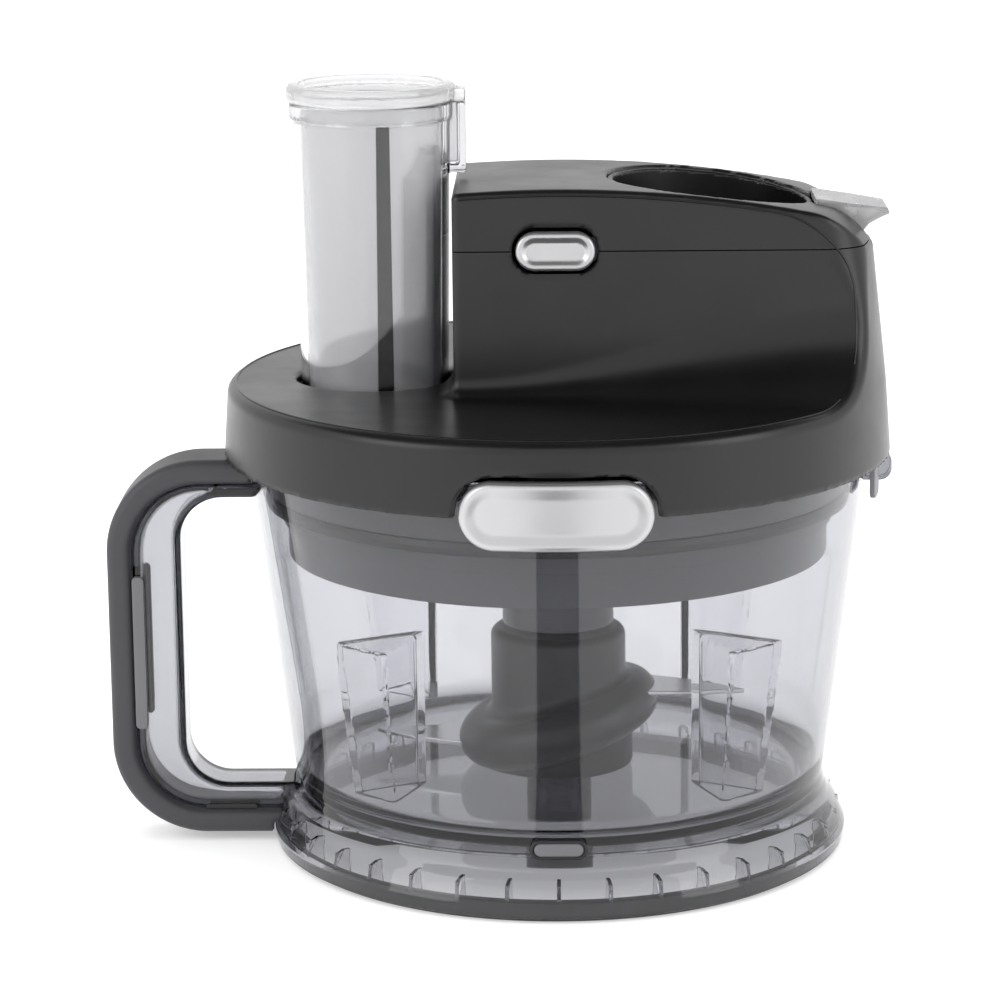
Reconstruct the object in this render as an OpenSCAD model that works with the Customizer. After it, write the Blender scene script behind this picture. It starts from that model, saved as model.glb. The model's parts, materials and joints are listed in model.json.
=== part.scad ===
// Bowl attachment of a hand-blender food processor: a clear bowl with a side handle, a blade on
// a steel spindle, and a lid whose tower holds the reduction gears and the motor socket.
// Millimetres. Origin on the bowl's axis at table level, +Z up, handle towards -X.

/* [Bowl] */
// Outer radius of the bowl wall just under its rim
bowl_r = 93.5; // [88:0.5:114]
// Height of the bowl's rim above the table
bowl_h = 131; // [108:1:160]
// Radius that the wall loses from rim to floor
bowl_taper = 12.4; // [4:0.2:16]
// Thickness of the bowl's wall and floor
bowl_wall = 2.2; // [1.6:0.1:3]
// Height of the floor's underside above the table
floor_z = 20; // [16:1:26]
// How far the base skirt flares out past the wall
skirt_flare = 7; // [4:0.5:10]
// Number of stiffening ribs inside the skirt
skirt_ribs = 36; // [12:4:48]

/* [Handle] */
// How far the handle stands out from the bowl's rim
handle_reach = 43.5; // [36:0.5:56]
// Thickness of the dark grip strip
grip_t = 7.5; // [5:0.5:9]
// Thickness of the whole handle, grip and frame
handle_t = 22.5; // [18:0.5:27]
// Width of the grip across the hand
grip_w = 21; // [17:0.5:27]

/* [Lid] */
// Height of the lid's rim band
rim_h = 22; // [18:1:28]
// Wall thickness of the lid and tower
lid_wall = 3; // [2:0.1:3.6]
// Half width of the tower
tower_half = 34; // [33.5:0.5:41]
// Height of the tower above the lid's disc
tower_h = 60.8; // [58:0.2:74]
// Radius of the hollow where the tower's side runs into the disc
scoop_r = 22; // [12:1:28]

/* [Motor socket] */
// Inner radius of the socket that takes the motor part
socket_r = 28.8; // [24:0.2:29.5]
// Depth of the socket
socket_depth = 42; // [34:1:46]

/* [Feed tube] */
// Outer radius of the feed tube at its mouth
tube_r = 23.4; // [19.5:0.1:28.1]
// Wall of the feed tube
tube_wall = 2; // [1.6:0.1:2.8]
// Height of the feed tube above the lid's disc
tube_h = 83; // [72:1:100]

/* [Gears] */
// Gear module
gear_module = 1; // [0.9:0.05:1.1]
// Teeth on the output gear
output_teeth = 36; // [32:2:38]
// Teeth on the idler's large gear
idler_teeth = 30; // [26:2:32]
// Teeth on the idler's pinion
idler_pinion_teeth = 14; // [12:2:16]
// Teeth on the input pinion
input_teeth = 12; // [12:2:14]

/* [Blade] */
// Radius swept by the knives
knife_r = 72; // [60:1:76]
// Outer radius of the blade hub
hub_r = 20.6; // [18.5:0.1:24.5]
// Height of the blade hub
hub_h = 42.5; // [36:0.5:50]
// Thickness of each knife
knife_t = 1.4; // [1:0.1:2]

/* [Buttons] */
// Width of the lid button
lid_button_w = 54.6; // [46:0.2:62]
// Height of the lid button
lid_button_h = 19.6; // [17:0.2:20]
// Width of the motor release button
release_w = 23.2; // [20:0.2:27.8]
// Height of the motor release button
release_h = 11.4; // [9.6:0.2:13]

/* [Clearances] */
// Radial clearance of a shaft in its bush
running_gap = 0.05; // [0.02:0.01:0.08]
// Clearance between parts that slide or lift apart
sliding_gap = 0.5; // [0.3:0.1:0.8]
// Clearance round a button in its recess
button_gap = 0.9; // [0.5:0.1:1.4]

/* [Hidden] */
$fn = 96;
eps = 0.01;
far = 400;

// Bowl
bowl_lip = 1.8;
lip_h = 5;
skirt_foot_z = 1.5;
skirt_neck_z = floor_z + 2.5;
inner_floor_z = floor_z + bowl_wall;
neck_r = bowl_r - bowl_taper;
skirt_r = neck_r + skirt_flare;
wall_slope = bowl_taper / (bowl_h - 10 - skirt_neck_z);
function wall_r(z) = neck_r + (z - skirt_neck_z) * wall_slope;
foot_ring_w = 6.5;
foot_ring_h = 5.5;
rib_t = 1.2;
rib_h = 5.5;
floor_corner = 8;
centre_boss_r = 10;

// Stirring ridges
baffle_angles = [-132, -48, 48, 132];
baffle_half = 7.5;
baffle_r = knife_r + 1.8;

// Spindle
pin_r = 4;
pin_z0 = 6;
hub_z0 = inner_floor_z + 1.3;
hub_z1 = hub_z0 + hub_h;
pin_z1 = hub_z1 - 18;

// Lid
lid_gap = 2.2;
lid_z = bowl_h - 9;
lid_r = bowl_r + bowl_lip + lid_gap + lid_wall;
disc_z = lid_z + rim_h;
disc_under_z = disc_z - lid_wall;
rim_round = 3;
rim_draft = 0.07;
tower_draft = 0.11;
mouth_inner_r = lid_r - lid_wall;
disc_inner_r = mouth_inner_r - rim_h * rim_draft;
inner_draft = rim_h * rim_draft / (disc_under_z - lid_z);
function lid_inner_r(z) = mouth_inner_r - (z - lid_z) * inner_draft;
function lid_r_at(z) = lid_r - (min(z, disc_z) - lid_z) * rim_draft - max(z - disc_z, 0) * tower_draft;

// Handle
handle_x = -(bowl_r + handle_reach);
handle_foot_z = 2.5;
handle_top_z = lid_z - 2;
handle_corner = 29;
gap_corner = 13;
handle_foot_t = 15.5;
handle_top_t = 12;
grip_gap = 0.3;
pad_t = 2;
pad_w = 3.8;

// Inner cover
cover_z = bowl_h - 4.5;
cover_t = 2.2;
cover_top_z = cover_z + cover_t;
collar_drop = 34;
collar_z = cover_z - collar_drop;
collar_r = wall_r(collar_z) - 8.1;
collar_upper_r = collar_r + 5.5;
collar_step_z = collar_z + 10.5;
seal_z = collar_z + 16;
seal_h = 4;
baffle_top = collar_z - 16;
column_r = 17;
column_wall = 2.4;
column_z = hub_z1 + 1.8;

// Feed tube and pusher
tube_x = -(collar_r - bowl_wall - tube_r - 1.5);
tube_taper = 0.014;
tube_z0 = cover_z;
tube_z1 = disc_z + tube_h;
band_z = tube_z1 - 4.8;
pusher_gap = 0.45;
flange_t = 5.5;
flange_r = tube_r + 1.8;
key_w = 5.6;
key_x = tube_x + tube_r + 4.9;
channel_z = disc_z + 62;
function tube_r_at(z) = tube_r - (tube_z1 - z) * tube_taper;

// Tower
tower_x0 = tube_x + tube_r + 1.2;
crown_r = 390;
crown_z = disc_z + tower_h;
corner_r = 12;
seam_z = disc_z + 43;
seam_gap = 0.35;
lip_overhang = 0.7;
lip_band = 3;

// Gear train
idler_x = gear_module * (output_teeth + idler_pinion_teeth) / 2;
input_x = idler_x + gear_module * (idler_teeth + input_teeth) / 2;
gear_h = 8;
low_gear_z = cover_top_z + 2.5;
high_gear_z = low_gear_z + gear_h + 1.5;
gear_plate_z = high_gear_z + gear_h + 1.5;
gear_plate_t = 2.5;
pinion_shift = 0.4;
backlash = 0.16;
shaft_r = 5;
input_shaft_r = 4;
axle_r = 3;
bush_wall = 2.5;
boss_wall = 2.5;
gear_gap = 0.7;
skin = 0.8;

// Motor socket
socket_wall = 1.8;
socket_top = crown_z - input_x * input_x / (2 * crown_r);
socket_floor_z = socket_top - socket_depth;
socket_lip = 1.2;
seat_ledge = 2.4;

// Drive dog and coupler
dog_r = 10;
dog_lobes = 6;
dog_depth = 13;
coupler_r = 11;
coupler_h = 13;
socket_seat_z = socket_floor_z + coupler_h + 2;

// Blade details
hub_skirt_r = hub_r + 2.2;
wing_r = hub_r + 11;
wing_t = 15;
wing_tilt = 16;
wing_z = hub_z0 + 14;
upper_knife_z = wing_z + 9;
lower_knife_z = wing_z - 8;
knife_chord = 23;

// Buttons
button_t = 4;
button_back_r = lid_r + 1.3 - button_t;
button_z = lid_z + 1.2;
latch_z = bowl_h + 0.4;
latch_l = 10;
latch_block_h = 6.5;
latch_travel = 2;
latch_spring_y = -button_back_r + latch_l;
latch_spring_l = 6;
release_z = seam_z;
release_proud = 2.2;
release_travel = 2.5;
release_spring_y = -tower_half + 6.5;
release_spring_l = 8;
lever_half = 12.6;
lever_ear_t = 2.5;
lever_ear_r = 3.3;
lever_pin_r = 1.5;
lever_x = lid_r_at(crown_z) - 5.5;
lever_z = crown_z - 14.4;
screw_r = 1.6;
screw_head_r = 3;

// ---- Shared shapes ----

// Points of an arc about (x, y), from angle a0 to a1
function arc(x, y, r, a0, a1, n = 8) = [for (i = [0:n]) [x + r * cos(a0 + (a1 - a0) * i / n),
                                                        y + r * sin(a0 + (a1 - a0) * i / n)]];

// Flat outline in the XZ plane, extruded from y0 to y1
module xz_plate(y0, y1) {
  rotate([90, 0, 0])
    translate([0, 0, -y1])
      linear_extrude(y1 - y0)
        children();
}

// Flat outline in the YZ plane, extruded from x0 to x1
module yz_plate(x0, x1) {
  rotate([90, 0, 90])
    translate([0, 0, x0])
      linear_extrude(x1 - x0)
        children();
}

// Rectangle between two corners, with round corners
module round_box(x0, y0, x1, y1, r) {
  translate([x0 + r, y0])
    square([x1 - x0 - 2 * r, y1 - y0]);
  translate([x0, y0 + r])
    square([x1 - x0, y1 - y0 - 2 * r]);
  for (x = [x0 + r, x1 - r], y = [y0 + r, y1 - r])
    translate([x, y])
      circle(r);
}

// Slot outline with round ends, centred on the origin
module pill(w, h) {
  round_box(-w / 2, -h / 2, w / 2, h / 2, h / 2 - eps);
}

// Round bar on the Z axis, from z0 to z1
module bar(r, z0, z1) {
  translate([0, 0, z0])
    cylinder(r = r, h = z1 - z0);
}

// Ring on the Z axis, from z0 to z1
module ring(r_out, r_in, z0, z1) {
  rotate_extrude()
    translate([r_in, z0])
      square([r_out - r_in, z1 - z0]);
}

// Involute of a base circle: the point reached after unrolling by angle t
function involute(rb, t) = [rb * (cos(t) + t * PI / 180 * sin(t)), rb * (sin(t) - t * PI / 180 * cos(t))];
function inv_angle(a) = tan(a) * 180 / PI - a;
function turn(p, a) = [p[0] * cos(a) - p[1] * sin(a), p[0] * sin(a) + p[1] * cos(a)];
function unroll_to(rb, r) = r > rb ? sqrt(pow(r / rb, 2) - 1) * 180 / PI : 0;

// One flank of a tooth centred on +X, from root to tip
function flank(teeth, shift) =
  let (r = gear_module * teeth / 2,
       rb = r * cos(20),
       tip = r + gear_module * (1 + shift) - 0.1 * gear_module,
       root = r - gear_module * (1.25 - shift),
       half = 90 / teeth + (2 * shift * tan(20) * gear_module - backlash) / 2 / r * 180 / PI
              + inv_angle(20),
       t1 = unroll_to(rb, tip),
       t0 = unroll_to(rb, root))
  concat(root < rb ? [turn([root, 0], -half)] : [],
         [for (i = [0:4]) turn(involute(rb, t0 + (t1 - t0) * i / 4), -half)]);

function tooth(teeth, shift) =
  let (side = flank(teeth, shift), n = len(side))
  concat(side, [for (i = [1:n]) [side[n - i][0], -side[n - i][1]]]);

// Spur gear outline with a tooth on +X
module gear_outline(teeth, shift) {
  polygon([for (k = [0:teeth - 1]) for (p = tooth(teeth, shift)) turn(p, k * 360 / teeth)]);
}

// Lobed outline of a drive dog, or of its socket when grown by a gap
module lobes(r, gap) {
  circle(r * 0.72 + gap);
  for (k = [0:dog_lobes - 1])
    rotate(k * 360 / dog_lobes)
      translate([r * 0.72, 0])
        circle(r * 0.28 + gap);
}

// Coil spring along +Y from y = 0
module coil_spring(coil_r, wire_r, length, turns) {
  sides = 6;
  per_turn = 12;
  count = turns * per_turn;
  pitch = (length - 2 * wire_r) / turns;
  points = [for (i = [0:count]) for (k = [0:sides - 1])
    let (a = i * 360 / per_turn,
         b = k * 360 / sides,
         rr = coil_r + wire_r * cos(b))
    [rr * cos(a), wire_r + pitch * i / per_turn + wire_r * sin(b), rr * sin(a)]];
  walls = [for (i = [0:count - 1]) for (k = [0:sides - 1])
    [i * sides + k, i * sides + (k + 1) % sides, (i + 1) * sides + (k + 1) % sides, (i + 1) * sides + k]];
  first = [for (k = [0:sides - 1]) sides - 1 - k];
  last = [for (k = [0:sides - 1]) count * sides + k];
  polyhedron(points, concat([first], walls, [last]), convexity = 8);
}

// ---- Bowl group ----

// Bowl's outer surface as a solid: rim lip, drafted wall, neck and flared skirt
module bowl_solid(grow) {
  flare = arc(skirt_r + 9, skirt_neck_z, skirt_r + 9 - neck_r, 180, 222, 6);
  rotate_extrude()
    polygon(concat(
      [[0, skirt_foot_z], [skirt_r - 0.5 + grow, skirt_foot_z], [skirt_r + grow, skirt_foot_z + 3.5]],
      [for (i = [0:6]) [min(flare[6 - i][0], skirt_r) + grow, flare[6 - i][1]]],
      [[wall_r(bowl_h - lip_h - 2) + grow, bowl_h - lip_h - 2],
       [bowl_r + bowl_lip + grow, bowl_h - lip_h],
       [bowl_r + bowl_lip + grow, bowl_h],
       [0, bowl_h]]));
}

module bowl() {
  r0 = wall_r(inner_floor_z + floor_corner) - bowl_wall - floor_corner;
  inner_corner = arc(r0, inner_floor_z + floor_corner, floor_corner, 270, 360, 6);
  color("lightslategray", 0.4)
    difference() {
      union() {
        difference() {
          bowl_solid(0);
          // Inside of the bowl
          rotate_extrude()
            polygon(concat([[0, inner_floor_z]], inner_corner,
                           [[wall_r(bowl_h + 1) - bowl_wall, bowl_h + 1], [0, bowl_h + 1]]));
          // Hollow under the floor
          rotate_extrude()
            polygon([[0, -1], [skirt_r - bowl_wall, -1], [skirt_r - bowl_wall, foot_ring_h + 1],
                     [neck_r - bowl_wall - 1.5, floor_z - 3], [neck_r - bowl_wall - 5, floor_z],
                     [0, floor_z]]);
        }
        // Centre boss that holds the spindle and reaches the table
        bar(centre_boss_r, 0, floor_z + eps);
        bar(pin_r + 5, floor_z, hub_z0 - sliding_gap);
        // Ribs between the skirt and the rubber ring's seat
        intersection() {
          bowl_solid(-bowl_wall / 2);
          for (k = [0:skirt_ribs - 1])
            rotate(k * 360 / skirt_ribs)
              translate([skirt_r - bowl_wall - foot_ring_w, -rib_t / 2, foot_ring_h])
                cube([foot_ring_w + bowl_wall, rib_t, rib_h]);
        }
      }
      bar(pin_r, pin_z0, far);
    }
}

// Upright stirring ridges on the wall, two at the front and two at the back
module wall_baffles() {
  color("lightslategray", 0.4)
    difference() {
      intersection() {
        rotate_extrude()
          polygon([[0, inner_floor_z], [wall_r(inner_floor_z) - bowl_wall, inner_floor_z],
                   [wall_r(baffle_top) - bowl_wall, baffle_top], [0, baffle_top]]);
        translate([0, 0, inner_floor_z])
          linear_extrude(baffle_top - inner_floor_z)
            for (a = baffle_angles)
              rotate(a)
                polygon([[baffle_r, 0], [bowl_r, -bowl_r * sin(baffle_half)],
                         [bowl_r, bowl_r * sin(baffle_half)]]);
      }
      // Corner left free for the floor's fillet
      ring(bowl_r, wall_r(inner_floor_z) - bowl_wall - floor_corner, inner_floor_z - 1,
           inner_floor_z + floor_corner);
    }
}

module spindle_pin() {
  color("silver")
    rotate_extrude()
      polygon([[0, pin_z0], [pin_r, pin_z0], [pin_r, pin_z1 - 1.5], [pin_r - 1.5, pin_z1], [0, pin_z1]]);
}

// Outside of the handle loop from the side, pulled in by inset
module handle_outer(inset) {
  round_box(handle_x + inset, handle_foot_z + inset, 0, handle_top_z - inset, handle_corner - inset);
}

// Finger gap of the handle from the side
module handle_gap() {
  round_box(handle_x + handle_t, handle_foot_z + handle_foot_t, 0, handle_top_z - handle_top_t, gap_corner);
}

module handle_frame() {
  color("lightslategray", 0.4)
    difference() {
      xz_plate(-grip_w / 2 + pad_t, grip_w / 2 - pad_t)
        difference() {
          handle_outer(grip_t);
          handle_gap();
        }
      bowl_solid(0);
    }
}

// C-shaped strip clipped round the outside of the frame
module handle_grip() {
  color("dimgray")
    difference() {
      xz_plate(-grip_w / 2, grip_w / 2)
        difference() {
          handle_outer(0);
          handle_outer(grip_t);
        }
      bowl_solid(grip_gap);
    }
}

// Soft pads let into the two sides of the frame, beside the grip
module grip_pads() {
  color("gray")
    for (side = [-1, 1])
      translate([0, side * (grip_w - pad_t) / 2, 0])
        xz_plate(-pad_t / 2, pad_t / 2)
          translate([handle_x + grip_t, 0])
            round_box(0, handle_top_z * 0.3, pad_w, handle_top_z * 0.7, 1.2);
}

module base_ring() {
  seat_r = skirt_r - bowl_wall;
  color("black")
    rotate_extrude()
      polygon([[seat_r - foot_ring_w, 1], [seat_r - foot_ring_w + 1, 0], [seat_r - 1, 0], [seat_r, 1],
               [seat_r, foot_ring_h], [seat_r - foot_ring_w, foot_ring_h]]);
}

// Small grey plug let into the front of the neck
module base_tab() {
  color("darkgray")
    difference() {
      xz_plate(-neck_r - 2.4, -neck_r + 4)
        translate([0, skirt_neck_z - 1.6])
          pill(16.8, 6);
      bowl_solid(0, $fn = 360);
    }
}

// Clear ear at the back of the rim that the lid's guide tab runs beside
module rear_lug() {
  lug_top = lid_z - 1;
  color("lightslategray", 0.4)
    difference() {
      xz_plate(-5, 5)
        round_box(bowl_r - 4, lug_top - 9.2, lid_r + sliding_gap, lug_top, 3.6);
      bowl_solid(0);
    }
}

// ---- Blade group ----

module hub_profile() {
  polygon(concat([[0, hub_z0], [hub_skirt_r, hub_z0], [hub_skirt_r, wing_z - 2], [hub_r, wing_z + 2]],
                 arc(hub_r - 2.5, hub_z1 - 2.5, 2.5, 0, 90, 4),
                 [[0, hub_z1]]));
}

// Round-edged disc set at a slant, which carries a knife on each side
module slanted_wing() {
  translate([0, 0, wing_z])
    rotate([0, -wing_tilt, 0])
      rotate_extrude()
        polygon(concat([[0, -wing_t / 2]],
                       arc(wing_r - wing_t / 2, 0, wing_t / 2, -90, 90, 10),
                       [[0, wing_t / 2]]));
}

module blade_hub() {
  color("dimgray")
    difference() {
      union() {
        rotate_extrude()
          hub_profile();
        slanted_wing();
      }
      // Socket for the drive dog
      translate([0, 0, hub_z1 - dog_depth - 2])
        linear_extrude(far)
          lobes(dog_r, 0.35);
      // Seat of the bush
      bar(pin_r + bush_wall, hub_z0 - 1, pin_z1 + 1);
      upper_blade();
      lower_blade();
    }
}

module hub_bush() {
  color("white")
    ring(pin_r + bush_wall, pin_r + running_gap, hub_z0, pin_z1 + 1);
}

// Curved knife in plan, pointing along +X from inside the hub
module knife_outline() {
  root = hub_r * 0.5;
  difference() {
    intersection() {
      circle(knife_r);
      translate([root, -knife_chord / 2])
        square([knife_r, knife_chord]);
      translate([0, -knife_r * 1.05])
        circle(knife_r * 1.22);
    }
    // Hollow cutting edge
    translate([knife_r * 0.82, -knife_r * 0.95])
      circle(knife_r * 0.83);
  }
}

module upper_blade() {
  translate([0, 0, upper_knife_z])
    linear_extrude(knife_t)
      knife_outline();
}

module lower_blade() {
  translate([0, 0, lower_knife_z])
    rotate(180)
      linear_extrude(knife_t)
        knife_outline();
}

module upper_knife() {
  color("silver")
    upper_blade();
}

module lower_knife() {
  color("silver")
    lower_blade();
}

// ---- Lid shell ----

// Side outline of the tower, pulled in by inset, with its crowned top and round far corner
module tower_side(inset) {
  x0 = tower_x0 + inset;
  corner_x = lid_r_at(seam_z) - corner_r - 0.6;
  corner_z = crown_z - crown_r + sqrt(pow(crown_r - corner_r, 2) - corner_x * corner_x);
  intersection() {
    translate([0, crown_z - crown_r])
      circle(crown_r - inset, $fn = 720);
    union() {
      translate([x0, lid_z - 1])
        square([corner_x - x0 + (crown_z - corner_z) * 0.1, far]);
      translate([corner_x, corner_z])
        circle(corner_r - inset);
      translate([x0, lid_z - 1])
        square([lid_r + 5 - x0, corner_z - lid_z + 1]);
    }
  }
}

// Solid inside the lid's drafted outer surface, from z0 to z1
module rim_cone(inset, z0, z1) {
  rotate_extrude()
    polygon([[0, z0], [lid_r_at(z0) - inset, z0], [lid_r_at(disc_z) - inset, max(z0, disc_z)],
             [lid_r_at(z1) - inset, z1], [0, z1]]);
}

// Tower block of a given half width, pulled in by inset elsewhere
module tower_block(inset, half) {
  intersection() {
    rim_cone(inset, lid_z, crown_z + 2);
    xz_plate(-half, half)
      tower_side(inset);
  }
}

// Hollows that run from the tower's sides into the disc, as one solid foot
module tower_foot() {
  reach = tower_half + scoop_r;
  top = disc_z + scoop_r;
  intersection() {
    rim_cone(0, disc_z - 1, top);
    yz_plate(tower_x0, lid_r)
      difference() {
        translate([-reach, disc_z - 1])
          square([2 * reach, scoop_r + 1]);
        for (side = [-1, 1])
          translate([side * reach, top])
            circle(scoop_r);
      }
  }
}

// Whole outside of lid and tower
module lid_outside() {
  difference() {
    tower_block(0, tower_half + lip_overhang);
    // Side faces sit a little inside the top and end band
    for (side = [-1, 1])
      translate([0, side * (tower_half + 10), 0])
        intersection() {
          translate([0, -side * (tower_half + 10), 0])
            rim_cone(lip_band, disc_z, crown_z);
          xz_plate(-10, 10)
            tower_side(lip_band);
        }
  }
  tower_foot();
  rotate_extrude()
    polygon(concat([[0, lid_z], [lid_r, lid_z]],
                   arc(lid_r_at(disc_z) - rim_round, disc_z - rim_round, rim_round, 0, 90, 6),
                   [[0, disc_z]]));
}

// Whole inside of lid and tower, below the crown
module lid_inside() {
  rotate_extrude()
    polygon([[0, lid_z - 1], [lid_inner_r(lid_z - 1), lid_z - 1], [disc_inner_r, disc_under_z],
             [0, disc_under_z]]);
  tower_block(lid_wall, tower_half - lid_wall + 0.5);
}

module cap_region() {
  translate([-far / 2, -far / 2, seam_z])
    cube([far, far, far]);
}

// Recess for the release button, cut across the seam
module release_recess() {
  xz_plate(-tower_half - 5, -tower_half + lid_wall + 2)
    translate([0, release_z])
      pill(release_w + 2 * button_gap, release_h + 2 * button_gap);
}

// Notch for the thumb lever at the tower's far end
module lever_notch() {
  translate([lever_x - 10.4, -lever_half, lever_z - 5.5])
    cube([30, 2 * lever_half, far]);
}

module lid_housing() {
  color([0.27, 0.27, 0.29])
    union() {
      difference() {
        lid_outside();
        lid_inside();
        translate([0, 0, -seam_gap])
          cap_region();
        release_recess();
        // Feed tube passes through the disc
        translate([tube_x, 0, 0])
          bar(tube_r_at(disc_z) + 0.9, lid_z, disc_z + 1);
        // Recess for the lid button in the rim
        xz_plate(-lid_r - 5, -lid_r + 14)
          translate([0, button_z])
            pill(lid_button_w + 2 * button_gap, lid_button_h + 2 * button_gap);
        lever_notch();
      }
      // Post that backs the latch spring
      translate([-6, latch_spring_y + latch_spring_l + latch_travel + sliding_gap, latch_z])
        cube([12, 2.5, disc_under_z - latch_z + eps]);
      // Bosses for the cover screws
      for (p = cover_screw_spots)
        translate(p)
          ring(4, screw_r, cover_top_z, disc_under_z + eps);
    }
}

module tower_cap() {
  color([0.3, 0.3, 0.32])
    difference() {
      union() {
        difference() {
          intersection() {
            lid_outside();
            cap_region();
          }
          lid_inside();
          release_recess();
          translate([input_x, 0, 0])
            bar(socket_r + socket_wall + 0.1, seam_z, far);
          lever_notch();
        }
        // Rib that backs the release spring
        translate([-5, release_spring_y + release_spring_l + release_travel + sliding_gap, seam_z + 1])
          cube([10, 2, crown_z - lid_wall - seam_z]);
        // Ears that hold the lever's pin
        for (side = [-1, 1])
          translate([0, side * (lever_half + lever_ear_t / 2), 0])
            lever_ear();
      }
      // Bore of the lever's pin
      rotate([90, 0, 0])
        translate([lever_x, lever_z, -lever_half - lever_ear_t])
          cylinder(r = lever_pin_r, h = 2 * (lever_half + lever_ear_t));
    }
}

module lever_ear() {
  intersection() {
    xz_plate(-lever_ear_t / 2, lever_ear_t / 2)
      translate([lever_x, lever_z])
        circle(lever_ear_r);
    rim_cone(0.5, seam_z, crown_z);
  }
}

// ---- Lid inside parts ----

cover_screw_spots = [for (a = [50, 130, 230, 310]) [(collar_r - 16) * cos(a), (collar_r - 16) * sin(a), 0]];
near_post_x = tower_x0 + lid_wall + 9;
far_post_x = idler_x + 14;
plate_screw_spots = [[near_post_x, 24, 0], [near_post_x, -24, 0], [far_post_x, 26, 0], [far_post_x, -26, 0]];

module lid_inner_cover() {
  r_top = collar_upper_r;
  color([0.42, 0.42, 0.44])
    difference() {
      union() {
        ring(r_top, 1, cover_z, cover_top_z);
        // Stepped collar that hangs inside the bowl
        rotate_extrude()
          polygon([[collar_r - bowl_wall, collar_z], [collar_r, collar_z], [collar_r, collar_step_z],
                   [collar_r + 1.6, collar_step_z], [collar_r + 1.6, seal_z], [r_top - 2, seal_z],
                   [r_top - 2, seal_z + seal_h], [r_top, seal_z + seal_h], [r_top, cover_z + 1],
                   [r_top - 2.6 - bowl_wall, cover_z + 1], [r_top - 2.6 - bowl_wall, collar_step_z + 2],
                   [collar_r - bowl_wall, collar_step_z]]);
        // Column round the output shaft
        ring(column_r, column_r - column_wall, column_z, cover_z + 1);
        // Posts that carry the gear plate
        for (p = plate_screw_spots)
          translate(p)
            bar(3.4, cover_top_z - eps, gear_plate_z);
        // Bosses under the idler's axle and the input shaft
        translate([idler_x, 0, 0])
          bar(axle_r + boss_wall, cover_top_z - eps, low_gear_z - gear_gap);
        translate([input_x, 0, 0])
          bar(input_shaft_r + boss_wall, cover_top_z - eps, high_gear_z - gear_gap);
      }
      bar(column_r - column_wall, column_z - 1, cover_top_z + 1);
      translate([tube_x, 0, 0])
        bar(tube_r_at(cover_z) + 0.3, cover_z - 1, cover_top_z + 1);
      translate([idler_x, 0, 0])
        bar(axle_r, cover_z + skin, gear_plate_z);
      translate([input_x, 0, 0])
        bar(input_shaft_r + running_gap, cover_z + skin, gear_plate_z);
      for (p = cover_screw_spots)
        translate(p)
          bar(screw_r, cover_z - 1, cover_top_z + 1);
      for (p = plate_screw_spots)
        translate(p)
          bar(screw_r, gear_plate_z - 8, gear_plate_z + 1);
    }
}

module lid_seal() {
  color("black")
    rotate_extrude()
      polygon([[collar_upper_r - 2, seal_z], [collar_upper_r + 0.8, seal_z],
               [collar_upper_r + 1.4, seal_z + seal_h / 2], [collar_upper_r + 0.8, seal_z + seal_h],
               [collar_upper_r - 2, seal_z + seal_h]]);
}

module motor_socket() {
  color([0.16, 0.16, 0.17])
    difference() {
      translate([input_x, 0, 0])
        difference() {
          bar(socket_r + socket_wall, socket_floor_z - 2, crown_z);
          // Upper bore that takes the motor part, down to its seat
          bar(socket_r, socket_seat_z, crown_z + 1);
          // Narrower well round the coupler
          bar(socket_r - seat_ledge, socket_floor_z, crown_z);
          bar(input_shaft_r + 1, socket_floor_z - 3, socket_floor_z + 1);
        }
      // Top edge follows the crowned top
      difference() {
        xz_plate(-far / 2, far / 2)
          translate([-far / 2, seam_z])
            square([far, far]);
        xz_plate(-far, far)
          translate([0, crown_z - crown_r])
            circle(crown_r - socket_lip, $fn = 720);
      }
      lever_notch();
    }
}

module feed_tube() {
  color("lightslategray", 0.4)
    difference() {
      union() {
        translate([tube_x, 0, 0])
          rotate_extrude()
            polygon([[0, tube_z0], [tube_r_at(tube_z0), tube_z0], [tube_r_at(band_z), band_z],
                     [tube_r + 0.9, band_z + 0.6], [tube_r + 0.9, tube_z1], [0, tube_z1]]);
        translate([tube_x, -key_w / 2 - 2, channel_z])
          cube([key_x - tube_x, key_w + 4, tube_z1 - channel_z]);
      }
      // Drafted bore
      translate([tube_x, 0, 0])
        rotate_extrude()
          polygon([[0, tube_z0 - 1], [tube_r_at(tube_z0 - 1) - tube_wall, tube_z0 - 1],
                   [tube_r_at(tube_z1 + 1) - tube_wall, tube_z1 + 1], [0, tube_z1 + 1]]);
      // Channel for the pusher's key
      translate([tube_x, -key_w / 2, channel_z + 2])
        cube([key_x - tube_x - 1.8, key_w, far]);
    }
}

module gear_plate() {
  edge_y = tower_half - lid_wall - 1.5;
  color("gainsboro")
    translate([0, 0, gear_plate_z])
      linear_extrude(gear_plate_t)
        difference() {
          round_box(tower_x0 + 6, -edge_y, input_x + 14, edge_y, 6);
          circle(shaft_r + bush_wall);
          translate([idler_x, 0])
            circle(axle_r);
          translate([input_x, 0])
            circle(input_shaft_r + bush_wall);
          for (p = plate_screw_spots)
            translate([p[0], p[1]])
              circle(screw_r);
        }
}

module column_bush() {
  color("white")
    ring(column_r - column_wall, shaft_r + running_gap, column_z + 1, column_z + 9);
}

module output_top_bush() {
  color("white")
    ring(shaft_r + bush_wall, shaft_r + running_gap, gear_plate_z, gear_plate_z + gear_plate_t);
}

module input_bush() {
  color("white")
    translate([input_x, 0, 0])
      ring(input_shaft_r + bush_wall, input_shaft_r + running_gap, gear_plate_z,
           gear_plate_z + gear_plate_t);
}

module idler_axle() {
  color("silver")
    translate([idler_x, 0, 0])
      bar(axle_r, cover_z + skin, gear_plate_z + gear_plate_t);
}

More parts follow.
